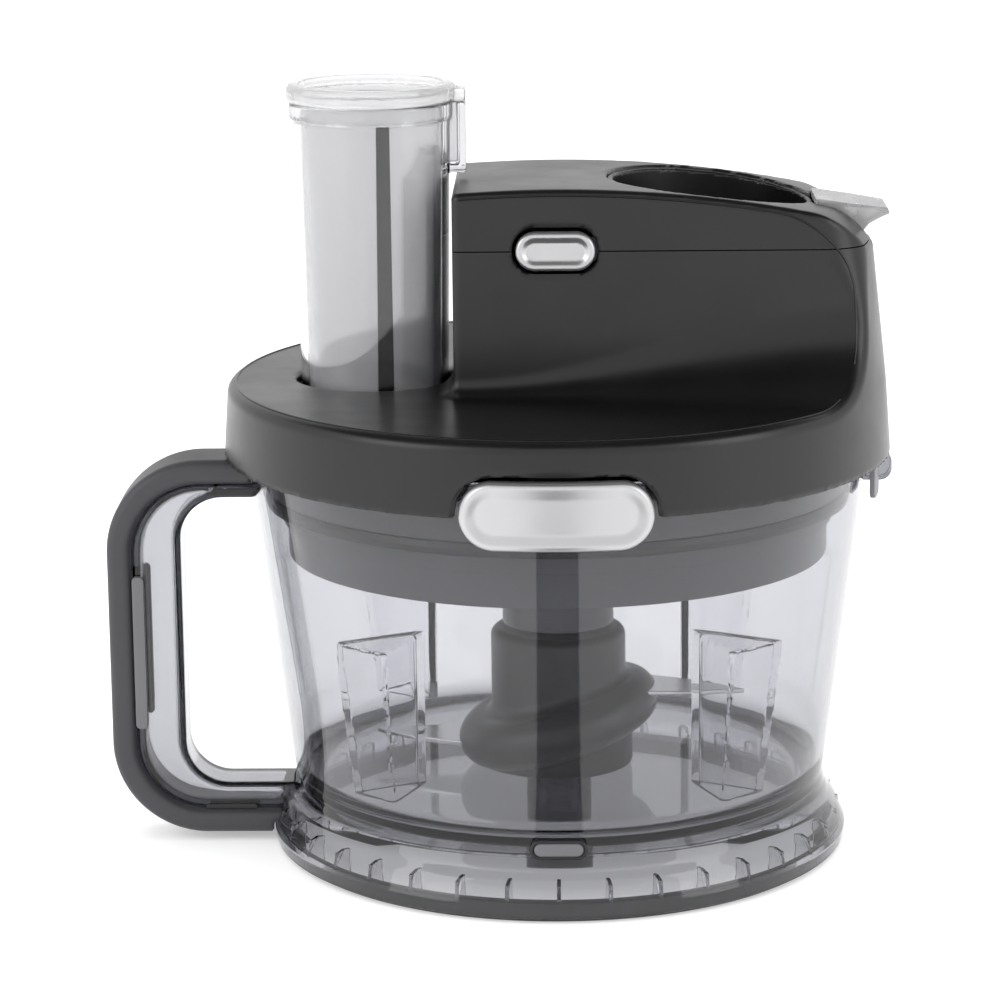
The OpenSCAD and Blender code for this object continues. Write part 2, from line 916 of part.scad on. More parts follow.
// Pan-head screw pointing up from z, with its head below
module screw(z, length) {
  bar(screw_r, z - eps, z + length);
  bar(screw_head_r, z - 1.6, z);
}

module cover_screws() {
  color("silver")
    for (p = cover_screw_spots)
      translate(p)
        screw(cover_z, 9);
}

module plate_screws() {
  color("silver")
    for (p = plate_screw_spots)
      translate([p[0], p[1], 2 * gear_plate_z + 2 * gear_plate_t])
        mirror([0, 0, 1])
          screw(gear_plate_z + gear_plate_t, 9);
}

// Grey tab on the lid's rim that drops beside the bowl's ear
module lid_guide_tab() {
  tab_z = lid_z - 12;
  tab_top = lid_z + 3;
  color("darkgray")
    intersection() {
      rotate_extrude()
        polygon([[bowl_r + bowl_lip + sliding_gap, tab_z], [lid_inner_r(tab_top), tab_z],
                 [lid_inner_r(tab_top), lid_z], [lid_inner_r(tab_top), tab_top],
                 [bowl_r + bowl_lip + sliding_gap, tab_top]]);
      yz_plate(bowl_r / 2, lid_r)
        round_box(-24, tab_z, -10, tab_top, 3);
    }
}

// ---- Drive bodies ----

module output_gear() {
  color("ivory")
    difference() {
      translate([0, 0, low_gear_z])
        linear_extrude(gear_h)
          gear_outline(output_teeth, -pinion_shift);
      bar(shaft_r, low_gear_z - 1, low_gear_z + gear_h + 1);
    }
}

module output_shaft() {
  color("silver")
    bar(shaft_r, hub_z1 - dog_depth + 3, gear_plate_z + gear_plate_t + 1);
}

module drive_dog() {
  color("dimgray")
    difference() {
      translate([0, 0, hub_z1 - dog_depth])
        linear_extrude(dog_depth + 1)
          lobes(dog_r, 0);
      bar(shaft_r, hub_z1 - dog_depth + 3, far);
    }
}

module idler_gear() {
  color("ivory")
    translate([idler_x, 0, 0])
      difference() {
        union() {
          translate([0, 0, high_gear_z])
            linear_extrude(gear_h)
              gear_outline(idler_teeth, -pinion_shift);
          translate([0, 0, low_gear_z])
            linear_extrude(high_gear_z - low_gear_z + eps)
              rotate(180 / idler_pinion_teeth)
                gear_outline(idler_pinion_teeth, pinion_shift);
        }
        bar(axle_r + running_gap, low_gear_z - 1, high_gear_z + gear_h + 1);
      }
}

module input_pinion() {
  color("silver")
    translate([input_x, 0, 0])
      difference() {
        translate([0, 0, high_gear_z])
          linear_extrude(gear_h)
            rotate(180 / input_teeth)
              gear_outline(input_teeth, pinion_shift);
        bar(input_shaft_r, high_gear_z - 1, high_gear_z + gear_h + 1);
      }
}

module input_shaft() {
  color("silver")
    translate([input_x, 0, 0])
      bar(input_shaft_r, cover_z + skin + 0.2, socket_floor_z + coupler_h - 2);
}

module input_coupler() {
  color("white")
    translate([input_x, 0, 0])
      difference() {
        translate([0, 0, socket_floor_z + 0.6])
          linear_extrude(coupler_h)
            lobes(coupler_r, 0);
        bar(input_shaft_r, socket_floor_z - 1, socket_floor_z + coupler_h - 2);
      }
}

// ---- Buttons ----

module release_button() {
  color("silver")
    difference() {
      xz_plate(-tower_half - release_proud, -tower_half + 1)
        translate([0, release_z])
          pill(release_w, release_h);
      // Finger dish
      translate([0, -tower_half - release_proud - 30, release_z])
        cylinder(r = 30.9, h = release_h - 4, center = true, $fn = 192);
    }
}

module release_slide() {
  color("dimgray")
    union() {
      translate([-6, -tower_half + 1, release_z - 3.5])
        cube([12, 5.5, 7]);
      translate([-6, -tower_half + 3.5, release_z - 3.5])
        cube([input_x - socket_r + 4, 3, 7]);
    }
}

module release_spring() {
  color("silver")
    translate([0, release_spring_y, release_z])
      coil_spring(2.6, 0.4, release_spring_l, 5);
}

// Ring of metal that the lid button is cut from
module lid_button() {
  color("silver")
    intersection() {
      ring(button_back_r + button_t, button_back_r, button_z - lid_button_h, button_z + lid_button_h);
      xz_plate(-lid_r - 5, -lid_r + 14)
        translate([0, button_z])
          pill(lid_button_w, lid_button_h);
    }
}

// Tongue over the bowl's rim and the block that the spring pushes
module latch_slide() {
  color("dimgray")
    difference() {
      union() {
        translate([-14, -button_back_r, latch_z])
          cube([28, latch_l, 1.5]);
        translate([-8, -button_back_r + latch_l - 6, latch_z])
          cube([16, 6, latch_block_h]);
      }
      ring(lid_r * 2, button_back_r, latch_z - 1, latch_z + latch_block_h);
    }
}

module latch_spring() {
  color("silver")
    translate([0, latch_spring_y, latch_z + latch_block_h / 2])
      coil_spring(2.4, 0.4, latch_spring_l, 4);
}

// Clear thumb lever that rocks on its pin at the tower's end
module end_lever() {
  tip_x = lever_x + 11.5;
  color("lightgray", 0.6)
    difference() {
      xz_plate(-lever_half + sliding_gap, lever_half - sliding_gap)
        polygon([[lever_x - 9.8, lever_z + 8.1], [tip_x, lever_z + 4.9], [tip_x + 0.8, lever_z + 3.2],
                 [tip_x - 1.8, lever_z + 2.2], [tip_x - 5.4, lever_z + 0.4], [lever_x + 3.4, lever_z - 2.6],
                 [lever_x + 1, lever_z - 4], [lever_x - 2, lever_z - 2.4], [lever_x - 9.8, lever_z + 5.6]]);
      // Sides taper towards the tip
      for (side = [-1, 1])
        translate([lever_x + 2, side * (lever_half - sliding_gap), 0])
          rotate(-side * 14)
            translate([0, side * 4 - 4, lever_z - 10])
              cube([28, 8, 30]);
      rotate([90, 0, 0])
        translate([lever_x, lever_z, -far / 2])
          cylinder(r = lever_pin_r + running_gap, h = far);
    }
}

module lever_pin() {
  color("silver")
    rotate([90, 0, 0])
      translate([lever_x, lever_z, -lever_half - lever_ear_t])
        cylinder(r = lever_pin_r, h = 2 * (lever_half + lever_ear_t));
}

// ---- Pusher ----

module pusher() {
  z0 = tube_z0 + 9;
  function body_r(z) = tube_r_at(z) - tube_wall - pusher_gap;
  color("lightslategray", 0.4)
    difference() {
      union() {
        translate([tube_x, 0, 0])
          rotate_extrude()
            polygon([[0, z0], [body_r(z0) - 1, z0], [body_r(z0), z0 + 1.5],
                     [body_r(tube_z1), tube_z1 + 0.1],
                     [flange_r - 0.6, tube_z1 + 0.1], [flange_r, tube_z1 + 0.8],
                     [flange_r, tube_z1 + flange_t - 1.2], [flange_r - 1.2, tube_z1 + flange_t],
                     [0, tube_z1 + flange_t]]);
        // Key that runs in the tube's channel
        translate([tube_x + body_r(tube_z1) - 1, -key_w / 2 + sliding_gap, channel_z + 3])
          cube([key_x - 1.8 - sliding_gap - tube_x - body_r(tube_z1) + 1, key_w - 2 * sliding_gap,
                tube_z1 + flange_t - channel_z - 4]);
        translate([tube_x, -key_w / 2 - 1.2, tube_z1 + 0.1])
          cube([key_x - tube_x, key_w + 2.4, flange_t - 1.6]);
      }
      // Hollow of the cup, open at the top
      translate([tube_x, 0, 0])
        rotate_extrude()
          polygon([[0, z0 + 2], [body_r(z0) - 2.5, z0 + 2], [body_r(tube_z1) - 2, tube_z1 + flange_t - 3],
                   [body_r(tube_z1) + 0.5, tube_z1 + flange_t - 2.5],
                   [body_r(tube_z1) + 0.5, tube_z1 + flange_t + 1], [0, tube_z1 + flange_t + 1]]);
    }
}

bowl();
wall_baffles();
spindle_pin();
handle_frame();
handle_grip();
grip_pads();
base_ring();
base_tab();
rear_lug();
blade_hub();
hub_bush();
upper_knife();
lower_knife();
lid_housing();
tower_cap();
lid_inner_cover();
lid_seal();
motor_socket();
feed_tube();
gear_plate();
column_bush();
output_top_bush();
input_bush();
idler_axle();
cover_screws();
plate_screws();
lid_guide_tab();
lever_pin();
output_gear();
output_shaft();
drive_dog();
idler_gear();
input_pinion();
input_shaft();
input_coupler();
release_button();
release_slide();
release_spring();
lid_button();
latch_slide();
latch_spring();
end_lever();
pusher();
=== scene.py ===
# %% [markdown]
# A food processor attachment: a clear smoked bowl with a side handle, a blade on a steel
# spindle, and a dark geared lid with a feed tube, a pusher and a socket for a motor part.
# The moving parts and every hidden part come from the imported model, which is a fixed frame.
# This lesson makes the visible skins, their finishes, and a plain studio round them.

# %% Load the frame
import itertools
import json
import math

import bmesh
import bpy
import numpy as np
from mathutils import Matrix, Vector


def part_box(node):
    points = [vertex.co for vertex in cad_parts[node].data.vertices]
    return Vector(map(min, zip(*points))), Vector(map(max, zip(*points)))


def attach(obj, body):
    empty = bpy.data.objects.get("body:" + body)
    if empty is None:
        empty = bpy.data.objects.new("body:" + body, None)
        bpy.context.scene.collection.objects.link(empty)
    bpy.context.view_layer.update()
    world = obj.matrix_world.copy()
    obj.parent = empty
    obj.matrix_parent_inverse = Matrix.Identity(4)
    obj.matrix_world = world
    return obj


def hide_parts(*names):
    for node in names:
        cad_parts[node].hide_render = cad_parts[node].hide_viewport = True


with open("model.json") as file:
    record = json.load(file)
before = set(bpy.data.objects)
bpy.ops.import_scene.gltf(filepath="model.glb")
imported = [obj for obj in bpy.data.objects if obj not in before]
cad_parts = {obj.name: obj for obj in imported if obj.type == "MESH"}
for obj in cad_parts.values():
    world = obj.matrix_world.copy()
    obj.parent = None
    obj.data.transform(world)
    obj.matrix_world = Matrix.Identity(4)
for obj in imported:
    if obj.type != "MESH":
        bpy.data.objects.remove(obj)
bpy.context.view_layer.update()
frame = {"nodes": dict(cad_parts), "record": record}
MM = 0.001


def box_mm(node):
    """Lowest and highest corner of a CAD node, in millimetres."""
    low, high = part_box(node)
    return np.array(low) / MM, np.array(high) / MM


# %% [markdown]
# Main sizes. Nearly everything below is placed from these boxes, so the skins follow the CAD
# parts. Only details, such as edge radii, are chosen here, in millimetres.

# %% Sizes read from the frame
bowl_low, bowl_high = box_mm("bowl")
housing_low, housing_high = box_mm("lid_housing")
cap_low, cap_high = box_mm("tower_cap")
socket_low, socket_high = box_mm("motor_socket")
tube_low, tube_high = box_mm("feed_tube")
pusher_low, pusher_high = box_mm("pusher")
ring_high = box_mm("base_ring")[1]
grip_low, grip_high = box_mm("handle_grip")
frame_low, frame_high = box_mm("handle_frame")
hub_low, hub_high = box_mm("blade_hub")

RIM_H = 22.0           # height of the lid's rim
BOWL_WALL = 2.2        # wall of the bowl and its floor
LIP_OUT = 1.8          # how far the bowl's lip stands out
LIP_H = 5.0            # height of that lip
HUB_CLEARANCE = 1.3    # the hub turns this far above the floor
NECK_IN = 7.0          # the bowl's neck is this much narrower than its skirt
bowl_h = bowl_high[2]
bowl_r = bowl_high[1] - LIP_OUT
skirt_r = ring_high[0] + BOWL_WALL
floor_top = hub_low[2] - HUB_CLEARANCE
floor_under = floor_top - BOWL_WALL
neck_z = floor_under + 2.5
neck_r = skirt_r - NECK_IN
lid_r = housing_high[0]
lid_z = housing_low[2]
disc_z = lid_z + RIM_H
seam_z = cap_low[2]
crown_z = cap_high[2]
tower_x0 = cap_low[0]
tower_y = cap_high[1]
socket_x = (socket_low[0] + socket_high[0]) / 2
socket_out = (socket_high[1] - socket_low[1]) / 2
tube_x = tube_low[0] + tube_high[1]
tube_rim_r = tube_high[1]
print("bowl", round(bowl_r, 2), round(bowl_h, 2), "lid", round(lid_r, 2),
      "tube at", round(tube_x, 2))


def wall_r(z):
    """Outer radius of the bowl's straight wall at a height."""
    return neck_r + (z - neck_z) * (bowl_r - neck_r) / (bowl_h - 10.0 - neck_z)


# %% [markdown]
# Round pieces, such as the bowl and the tube, are turned: an outline goes once round the axis.
# Real mouldings have no knife-sharp corners, so each corner of the outline is first replaced
# by a small arc. A weighted-normal pass then keeps the long walls optically flat between arcs.

# %% Turned pieces
def rounded(outline, steps=5):
    """Outline points (r, z) after each corner of (r, z, corner radius) has become an arc."""
    points = []
    count = len(outline)
    for i, (r, z, radius) in enumerate(outline):
        here = np.array([r, z])
        before = np.array(outline[i - 1][:2]) - here
        after = np.array(outline[(i + 1) % count][:2]) - here
        before_l, after_l = np.linalg.norm(before), np.linalg.norm(after)
        before, after = before / before_l, after / after_l
        half = math.acos(float(np.clip(before @ after, -1, 1))) / 2
        straight = math.cos(half) < 1e-3
        reach = 0.0 if straight else min(radius / math.tan(half), before_l * 0.49, after_l * 0.49)
        if reach < 1e-4:
            points.append(here)
            continue
        arc_r = reach * math.tan(half)
        middle = (before + after) / np.linalg.norm(before + after)
        centre = here + middle * math.hypot(reach, arc_r)
        a0, a1 = [math.atan2(*(here + d * reach - centre)[::-1]) for d in (before, after)]
        sweep = (a1 - a0 + math.pi) % (2 * math.pi) - math.pi
        for k in range(steps + 1):
            angle = a0 + sweep * k / steps
            points.append(centre + arc_r * np.array([math.cos(angle), math.sin(angle)]))
    return points


def placed(name, data):
    """New object that holds the data, linked to the scene."""
    piece = bpy.data.objects.new(name, data)
    bpy.context.scene.collection.objects.link(piece)
    return piece


def make_object(name, verts, faces, edges=()):
    mesh = bpy.data.meshes.new(name)
    mesh.from_pydata([tuple(v) for v in verts], list(edges), faces)
    return placed(name, mesh)


def baked(piece):
    """Replaces a piece's mesh with its evaluated one and removes its modifiers."""
    graph = bpy.context.evaluated_depsgraph_get()
    graph.update()
    mesh = bpy.data.meshes.new_from_object(piece.evaluated_get(graph), depsgraph=graph)
    piece.modifiers.clear()
    piece.data = mesh
    mesh.name = piece.name
    return piece


def bevelled(piece, width, angle=30.0):
    """Rounds edges sharper than the angle, in degrees, by a width in mm, and bakes the piece."""
    bevel = piece.modifiers.new("bevel", "BEVEL")
    bevel.width = width * MM
    bevel.segments = 2
    bevel.limit_method = "ANGLE"
    bevel.angle_limit = math.radians(angle)
    return baked(piece)


def prism_faces(n):
    """Faces of a prism whose two ends have n corners each."""
    sides = [[i, (i + 1) % n, n + (i + 1) % n, n + i] for i in range(n)]
    return [list(range(n))[::-1], list(range(n, 2 * n))] + sides


def finish_surface(piece):
    """Merges doubles, points faces outwards, and gives flats and arcs their true shading."""
    bm = bmesh.new()
    bm.from_mesh(piece.data)
    bmesh.ops.remove_doubles(bm, verts=bm.verts, dist=1e-6)
    bmesh.ops.recalc_face_normals(bm, faces=bm.faces)
    if bm.calc_volume(signed=True) < 0:
        bmesh.ops.reverse_faces(bm, faces=bm.faces)
    for face in bm.faces:
        face.smooth = True
    open_edges = sum(1 for e in bm.edges if not e.is_manifold)
    bm.to_mesh(piece.data)
    bm.free()
    piece.data.set_sharp_from_angle(angle=math.radians(40))
    weigh = piece.modifiers.new("weigh", "WEIGHTED_NORMAL")
    weigh.keep_sharp = True
    weigh.weight = 90
    baked(piece)
    print(f"{piece.name}: {len(piece.data.polygons)} faces, {open_edges} open edges")
    return piece


def turned(name, outline, centre_x=0.0, segments=224, steps=5):
    """Closed turned piece from an outline of (r, z, corner radius)."""
    points = [p * MM for p in rounded(outline, steps)]
    angles = np.arange(segments) * 2 * math.pi / segments
    verts, rings = [], []
    for r, z in points:
        if r < 1e-7:
            rings.append([len(verts)] * segments)
            verts.append((centre_x * MM, 0.0, z))
            continue
        rings.append([len(verts) + k for k in range(segments)])
        verts += [(centre_x * MM + r * math.cos(a), r * math.sin(a), z) for a in angles]
    faces = []
    for i, ring in enumerate(rings):
        following = rings[(i + 1) % len(rings)]
        for k in range(segments):
            k2 = (k + 1) % segments
            corners = dict.fromkeys([ring[k], ring[k2], following[k2], following[k]])
            if len(corners) > 2:
                faces.append(list(corners))
    return finish_surface(make_object(name, verts, faces))


# %% [markdown]
# Free shapes, such as the lid with its tower, blend into one another. They are described by
# distance fields: a function that is negative inside the plastic and positive outside.
# Where two fields meet, a rounded minimum leaves a hollow fillet and a rounded maximum rounds
# the edge, which is what a mould maker's cutter does. The field is then skinned with quads.

# %% Distance-field tools
def join(a, b, r):
    """Union of two fields with a hollow fillet of radius r."""
    u, v = np.maximum(r - a, 0), np.maximum(r - b, 0)
    return np.maximum(r, np.minimum(a, b)) - np.hypot(u, v)


def cross(a, b, r):
    """Overlap of two fields with its edge rounded to radius r."""
    return -join(-a, -b, r)


def round_rect(u, v, half_u, half_v, r):
    """Flat field of a rectangle with round corners."""
    du, dv = np.abs(u) - half_u + r, np.abs(v) - half_v + r
    return np.hypot(np.maximum(du, 0), np.maximum(dv, 0)) + np.minimum(np.maximum(du, dv), 0) - r


def slope(field, p, h=0.05):
    """Slope of a field at each point, measured over h on both sides along every axis."""
    return np.stack([field(*(p + d).T) - field(*(p - d).T) for d in np.eye(3) * h], 1) / (2 * h)


def skinned(name, field, low, high, step):
    """Closed quad mesh where field(x, y, z) = 0, in millimetres inside the given box."""
    grid = [np.arange(a - 1.5 * step, b + 2.5 * step, step, dtype=np.float32)
            for a, b in zip(low, high)]
    value = field(*np.meshgrid(*grid, indexing="ij")).astype(np.float32)
    inside = value < 0
    cells = tuple(n - 1 for n in inside.shape)
    filled = sum(inside[i:i + cells[0], j:j + cells[1], k:k + cells[2]].astype(np.int8)
                 for i, j, k in itertools.product((0, 1), repeat=3))
    at = np.argwhere((filled > 0) & (filled < 8))
    number = np.full(cells, -1, np.int64)
    number[tuple(at.T)] = np.arange(len(at))
    # One point in each crossed cell, at the mean of the crossings of its edges
    total, hits = np.zeros((len(at), 3)), np.zeros(len(at))
    for axis in range(3):
        for other in itertools.product((0, 1), repeat=2):
            start = np.insert(np.array(other), axis, 0)
            along = np.eye(3, dtype=int)[axis]
            v0 = value[tuple((at + start).T)]
            v1 = value[tuple((at + start + along).T)]
            crossed = (v0 < 0) != (v1 < 0)
            t = np.where(crossed, v0 / np.where(crossed, v0 - v1, 1), 0)
            total[crossed] += (start + along * t[:, None])[crossed]
            hits += crossed
    origin = np.array([g[0] for g in grid])
    points = origin + (at + total / hits[:, None]) * step
    # One quad round each crossed grid edge
    quads = []
    for axis in range(3):
        u, v = [a for a in range(3) if a != axis]
        lower, upper = [[slice(1, -1)] * 3 for _ in range(2)]
        lower[axis], upper[axis] = slice(0, -1), slice(1, None)
        a, b = inside[tuple(lower)], inside[tuple(upper)]
        spot = np.argwhere(a != b)
        leaving = a[tuple(spot.T)]
        spot[:, u] += 1
        spot[:, v] += 1
        ring = []
        for du, dv in ((-1, -1), (0, -1), (0, 0), (-1, 0)):
            cell = spot.copy()
            cell[:, u] += du
            cell[:, v] += dv
            ring.append(number[tuple(cell.T)])
        ring = np.stack(ring, 1)
        flip = leaving if axis == 1 else ~leaving
        ring[flip] = ring[flip][:, ::-1]
        quads.append(ring)
    quads = np.concatenate(quads)

    def settle(p):
        g = slope(field, p)
        g2 = np.maximum((g * g).sum(1), 0.05)
        move = -field(*p.T)[:, None] * g / g2[:, None]
        return p + np.clip(move, -step, step), g

    pairs = np.concatenate([quads[:, [i, (i + 1) % 4]] for i in range(4)])
    degree = np.maximum(np.bincount(pairs.ravel(), minlength=len(points)), 1)[:, None]
    for _ in range(3):
        points, g = settle(points)
        mean = np.zeros_like(points)
        for axis in range(3):
            mean[:, axis] = (np.bincount(pairs[:, 0], points[pairs[:, 1], axis], len(points))
                             + np.bincount(pairs[:, 1], points[pairs[:, 0], axis], len(points)))
        n = g / np.maximum(np.linalg.norm(g, axis=1), 1e-6)[:, None]
        shift = mean / degree - points
        points = points + 0.5 * (shift - (shift * n).sum(1)[:, None] * n)
    for _ in range(3):
        points, g = settle(points)
    piece = make_object(name, (points * MM).tolist(), quads.tolist())
    mesh = piece.data
    mesh.validate()
    mesh.polygons.foreach_set("use_smooth", np.ones(len(mesh.polygons), bool))
    mesh.set_sharp_from_angle(angle=math.radians(50))
    print(f"{name}: {len(mesh.polygons)} quads")
    return piece


def smooth_by_field(piece, field):
    """Takes the shading straight from the field's slope, so rounded edges read as round."""
    mesh = piece.data
    co = np.empty(len(mesh.vertices) * 3, np.float32)
    mesh.vertices.foreach_get("co", co)
    n = slope(field, co.reshape(-1, 3).astype(float) / MM, 0.12)
    n /= np.maximum(np.linalg.norm(n, axis=1), 1e-9)[:, None]
    mesh.normals_split_custom_set_from_vertices(n.tolist())
    return piece


# %% [markdown]
# Finishes. Three effects are shared by most of the materials, so each is a node group:
# the grain of a moulded surface, the uneven gloss that hands and cloths leave, and a slow
# drift of tone. A group gives out only values that change over the surface.

# %% Shared effects
def wire(tree, *links):
    """Joins sockets, each given as (node, its output, next node, its input)."""
    for node, output, following, socket in links:
        tree.links.new(node.outputs[output], following.inputs[socket])


def set_inputs(node, values):
    for key, value in values.items():
        node.inputs[key].default_value = value
    return node


def add_node(tree, kind, values):
    """New node with the given input values."""
    return set_inputs(tree.nodes.new(kind), values)


def effect_group(name, inputs, output, build):
    tree = bpy.data.node_groups.new(name, "ShaderNodeTree")
    tree.interface.new_socket("Vector", in_out="INPUT", socket_type="NodeSocketVector")
    for label, kind, value in inputs:
        tree.interface.new_socket(label, in_out="INPUT", socket_type=kind).default_value = value
    tree.interface.new_socket(output[0], in_out="OUTPUT", socket_type=output[1])
    build(tree, tree.nodes.new("NodeGroupInput"), tree.nodes.new("NodeGroupOutput"))
    return tree


def spread_noise(tree, source, scale, detail, roughness, low, high):
    """Noise and the node that stretches its range from low to high over 0 to 1."""
    speckle = add_node(tree, "ShaderNodeTexNoise",
                       {"Scale": scale, "Detail": detail, "Roughness": roughness})
    level = add_node(tree, "ShaderNodeMapRange", {"From Min": low, "From Max": high})
    wire(tree, (source, "Vector", speckle, "Vector"), (speckle, "Fac", level, "Value"))
    return speckle, level


def build_grain(tree, source, result):
    fine, soft = spread_noise(tree, source, 1.0, 3.0, 0.6, 0.3, 0.7)
    wire(tree, (source, "Scale", fine, "Scale"), (soft, "Result", result, "Height"))


def build_gloss(tree, source, result):
    spread = spread_noise(tree, source, 38.0, 5.0, 0.6, 0.35, 0.65)[1]
    wire(tree, (source, "Smooth", spread, "To Min"), (source, "Rough", spread, "To Max"),
         (spread, "Result", result, "Roughness"))


def build_tone(tree, source, result):
    level = spread_noise(tree, source, 14.0, 3.0, 0.55, 0.3, 0.7)[1]
    blend = tree.nodes.new("ShaderNodeMix")
    blend.data_type = "RGBA"
    wire(tree, (level, "Result", blend, "Factor"), (source, "Light", blend, "A"),
         (source, "Dark", blend, "B"), (blend, "Result", result, "Colour"))


GRAIN = effect_group("moulded_grain", [("Scale", "NodeSocketFloat", 2500.0)],
                     ("Height", "NodeSocketFloat"), build_grain)
GLOSS = effect_group("handled_gloss", [("Smooth", "NodeSocketFloat", 0.3),
                                       ("Rough", "NodeSocketFloat", 0.4)],
                     ("Roughness", "NodeSocketFloat"), build_gloss)
TONE = effect_group("tone_drift", [("Light", "NodeSocketColor", (1, 1, 1, 1)),
                                   ("Dark", "NodeSocketColor", (0.5, 0.5, 0.5, 1))],
                    ("Colour", "NodeSocketColor"), build_tone)
print("shared effects:", GRAIN.name, GLOSS.name, TONE.name)


# %% [markdown]
# One function builds a finish from its colour, gloss and grain. A clear plastic is the same
# shader with full transmission, so light bends through the real thickness of each wall.

# %% Finishes
SHADOW_TINT = (0.96, 0.96, 0.97, 1)     # what a clear wall takes from light that makes shadows
SMOKE_COLOUR = (0.0, 0.01, 0.075, 1)    # what passes the smoke best: a trace of blue


def finish(name, colour, gloss, drift, grain, metal=0.0, clear=0.0, stretch=(1, 1, 1), ior=1.5,
           smoke=0.0):
    """Material with uneven tone and gloss and a fine relief. grain is (scale, depth in mm)
    and smoke is how fast the plastic darkens what is behind it, per millimetre."""
    mat = bpy.data.materials.new(name)
    mat.use_nodes = True
    tree = mat.node_tree
    shader, output = tree.nodes["Principled BSDF"], tree.nodes["Material Output"]
    set_inputs(shader, {"Metallic": metal, "Transmission Weight": clear, "IOR": ior})
    if clear == 1.0:
        # Light that casts the shadows passes the clear walls, so the inside stays lit
        path = tree.nodes.new("ShaderNodeLightPath")
        through = add_node(tree, "ShaderNodeBsdfTransparent", {"Color": SHADOW_TINT})
        either = tree.nodes.new("ShaderNodeMixShader")
        wire(tree, (path, "Is Shadow Ray", either, "Fac"), (shader, "BSDF", either, 1),
             (through, "BSDF", either, 2), (either, "Shader", output, "Surface"))
    if smoke:
        dim = add_node(tree, "ShaderNodeVolumeAbsorption",
                       {"Color": SMOKE_COLOUR, "Density": smoke / MM})
        wire(tree, (dim, "Volume", output, "Volume"))
    place = tree.nodes.new("ShaderNodeTexCoord")
    scaled = add_node(tree, "ShaderNodeMapping", {"Scale": stretch})
    wire(tree, (place, "Object", scaled, "Vector"))

    def effect(group, **values):
        node = tree.nodes.new("ShaderNodeGroup")
        node.node_tree = group
        wire(tree, (scaled, "Vector", node, "Vector"))
        return set_inputs(node, values)

    darker = tuple(c * (1 - drift) for c in colour)
    tone = effect(TONE, Light=(*colour, 1), Dark=(*darker, 1))
    shine = effect(GLOSS, Smooth=gloss[0], Rough=gloss[1])
    relief = effect(GRAIN, Scale=grain[0])
    bump = add_node(tree, "ShaderNodeBump", {"Distance": grain[1] * MM, "Strength": 0.6})
    wire(tree, (tone, "Colour", shader, "Base Color"), (shine, "Roughness", shader, "Roughness"),
         (relief, "Height", bump, "Height"), (bump, "Normal", shader, "Normal"))
    return mat


# Each finish: colour, smoothest and roughest gloss, drift of tone, grain, and extra settings
PALE = (0.97, 0.97, 0.98)
POLISH = ((0.010, 0.03), 0.01, (60, 0.004))
LOOKS = {
    "lid_charcoal": ((0.0040, 0.0040, 0.0045), (0.29, 0.36), 0.2, (2600, 0.004), {}),
    "socket_black": ((0.004, 0.004, 0.005), (0.30, 0.40), 0.2, (2600, 0.004), {}),
    "grip_charcoal": ((0.045, 0.045, 0.050), (0.40, 0.50), 0.15, (1900, 0.010), {}),
    "pad_grey": ((0.15, 0.15, 0.16), (0.40, 0.52), 0.1, (2200, 0.010), {}),
    "base_rubber": ((0.012, 0.012, 0.013), (0.35, 0.50), 0.2, (1800, 0.010), {}),
    "hub_grey": ((0.005, 0.005, 0.006), (0.30, 0.42), 0.12, (2400, 0.004), {}),
    "collar_grey": ((0.11, 0.11, 0.12), (0.30, 0.42), 0.12, (2400, 0.004), {}),
    "natural_nylon": ((0.72, 0.71, 0.67), (0.35, 0.5), 0.06, (1800, 0.01), {}),
    "silver_key": ((0.53, 0.53, 0.54), (0.30, 0.38), 0.04, (4200, 0.006), {"metal": 0.9}),
    "steel": ((0.62, 0.62, 0.63), (0.18, 0.3), 0.08, (900, 0.01),
              {"metal": 1.0, "stretch": (0.3, 0.3, 9)}),
    "knife_steel": ((0.70, 0.70, 0.71), (0.14, 0.26), 0.06, (700, 0.01),
                    {"metal": 1.0, "stretch": (9, 0.4, 1)}),
    "smoked_clear": (PALE, *POLISH, {"clear": 1.0, "ior": 1.49, "smoke": 0.14}),
    "ridge_clear": (PALE, *POLISH, {"clear": 1.0, "ior": 1.09, "smoke": 0.012}),
    "frame_clear": (PALE, *POLISH, {"clear": 1.0, "ior": 1.49, "smoke": 0.21}),
    "tube_clear": ((0.98, 0.98, 0.98), *POLISH, {"clear": 1.0, "ior": 1.49, "smoke": 0.04}),
    "silvered_clear": ((0.92, 0.92, 0.93), (0.05, 0.10), 0.02, (60, 0.004), {"clear": 0.70}),
    "frosted_clear": ((0.50, 0.50, 0.51), (0.22, 0.32), 0.03, (2400, 0.01),
                      {"clear": 0.6, "ior": 1.49}),
}
FINISH = {name: finish(name, *look[:-1], **look[-1]) for name, look in LOOKS.items()}
print("finishes:", ", ".join(FINISH))


def dress(piece, body, slot, *nodes, look=None):
    """Gives a piece the finish of its record slot, or of look, puts it on its body and hides the
    CAD nodes it stands for.
    look is another finish of the same slot, such as a paler tint for a thinner wall."""
    piece.data.materials.clear()
    piece.data.materials.append(FINISH[look or slot])
    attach(piece, body)
    if nodes:
        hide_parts(*nodes)
    return piece


def skin(name, field, low, high, step, *worn, look=None, shaded=True):
    """Skins a field, shades it by the field's own slope if asked, and dresses the piece."""
    piece = skinned(name, field, low, high, step)
    if shaded:
        smooth_by_field(piece, field)
    return dress(piece, *worn, look=look)


# %% [markdown]
# Parts that are hidden or plain keep their CAD shape and only get a finish. The record says
# which finish each node has, so a short loop gives every node its own.

# %% CAD nodes
slot_of = {part["node"]: part["material_slot"] for part in frame["record"]["subparts"]}
for node, piece in frame["nodes"].items():
    for place in piece.material_slots:
        place.material = FINISH[slot_of[node]]
print("CAD nodes with a finish:", len(slot_of))


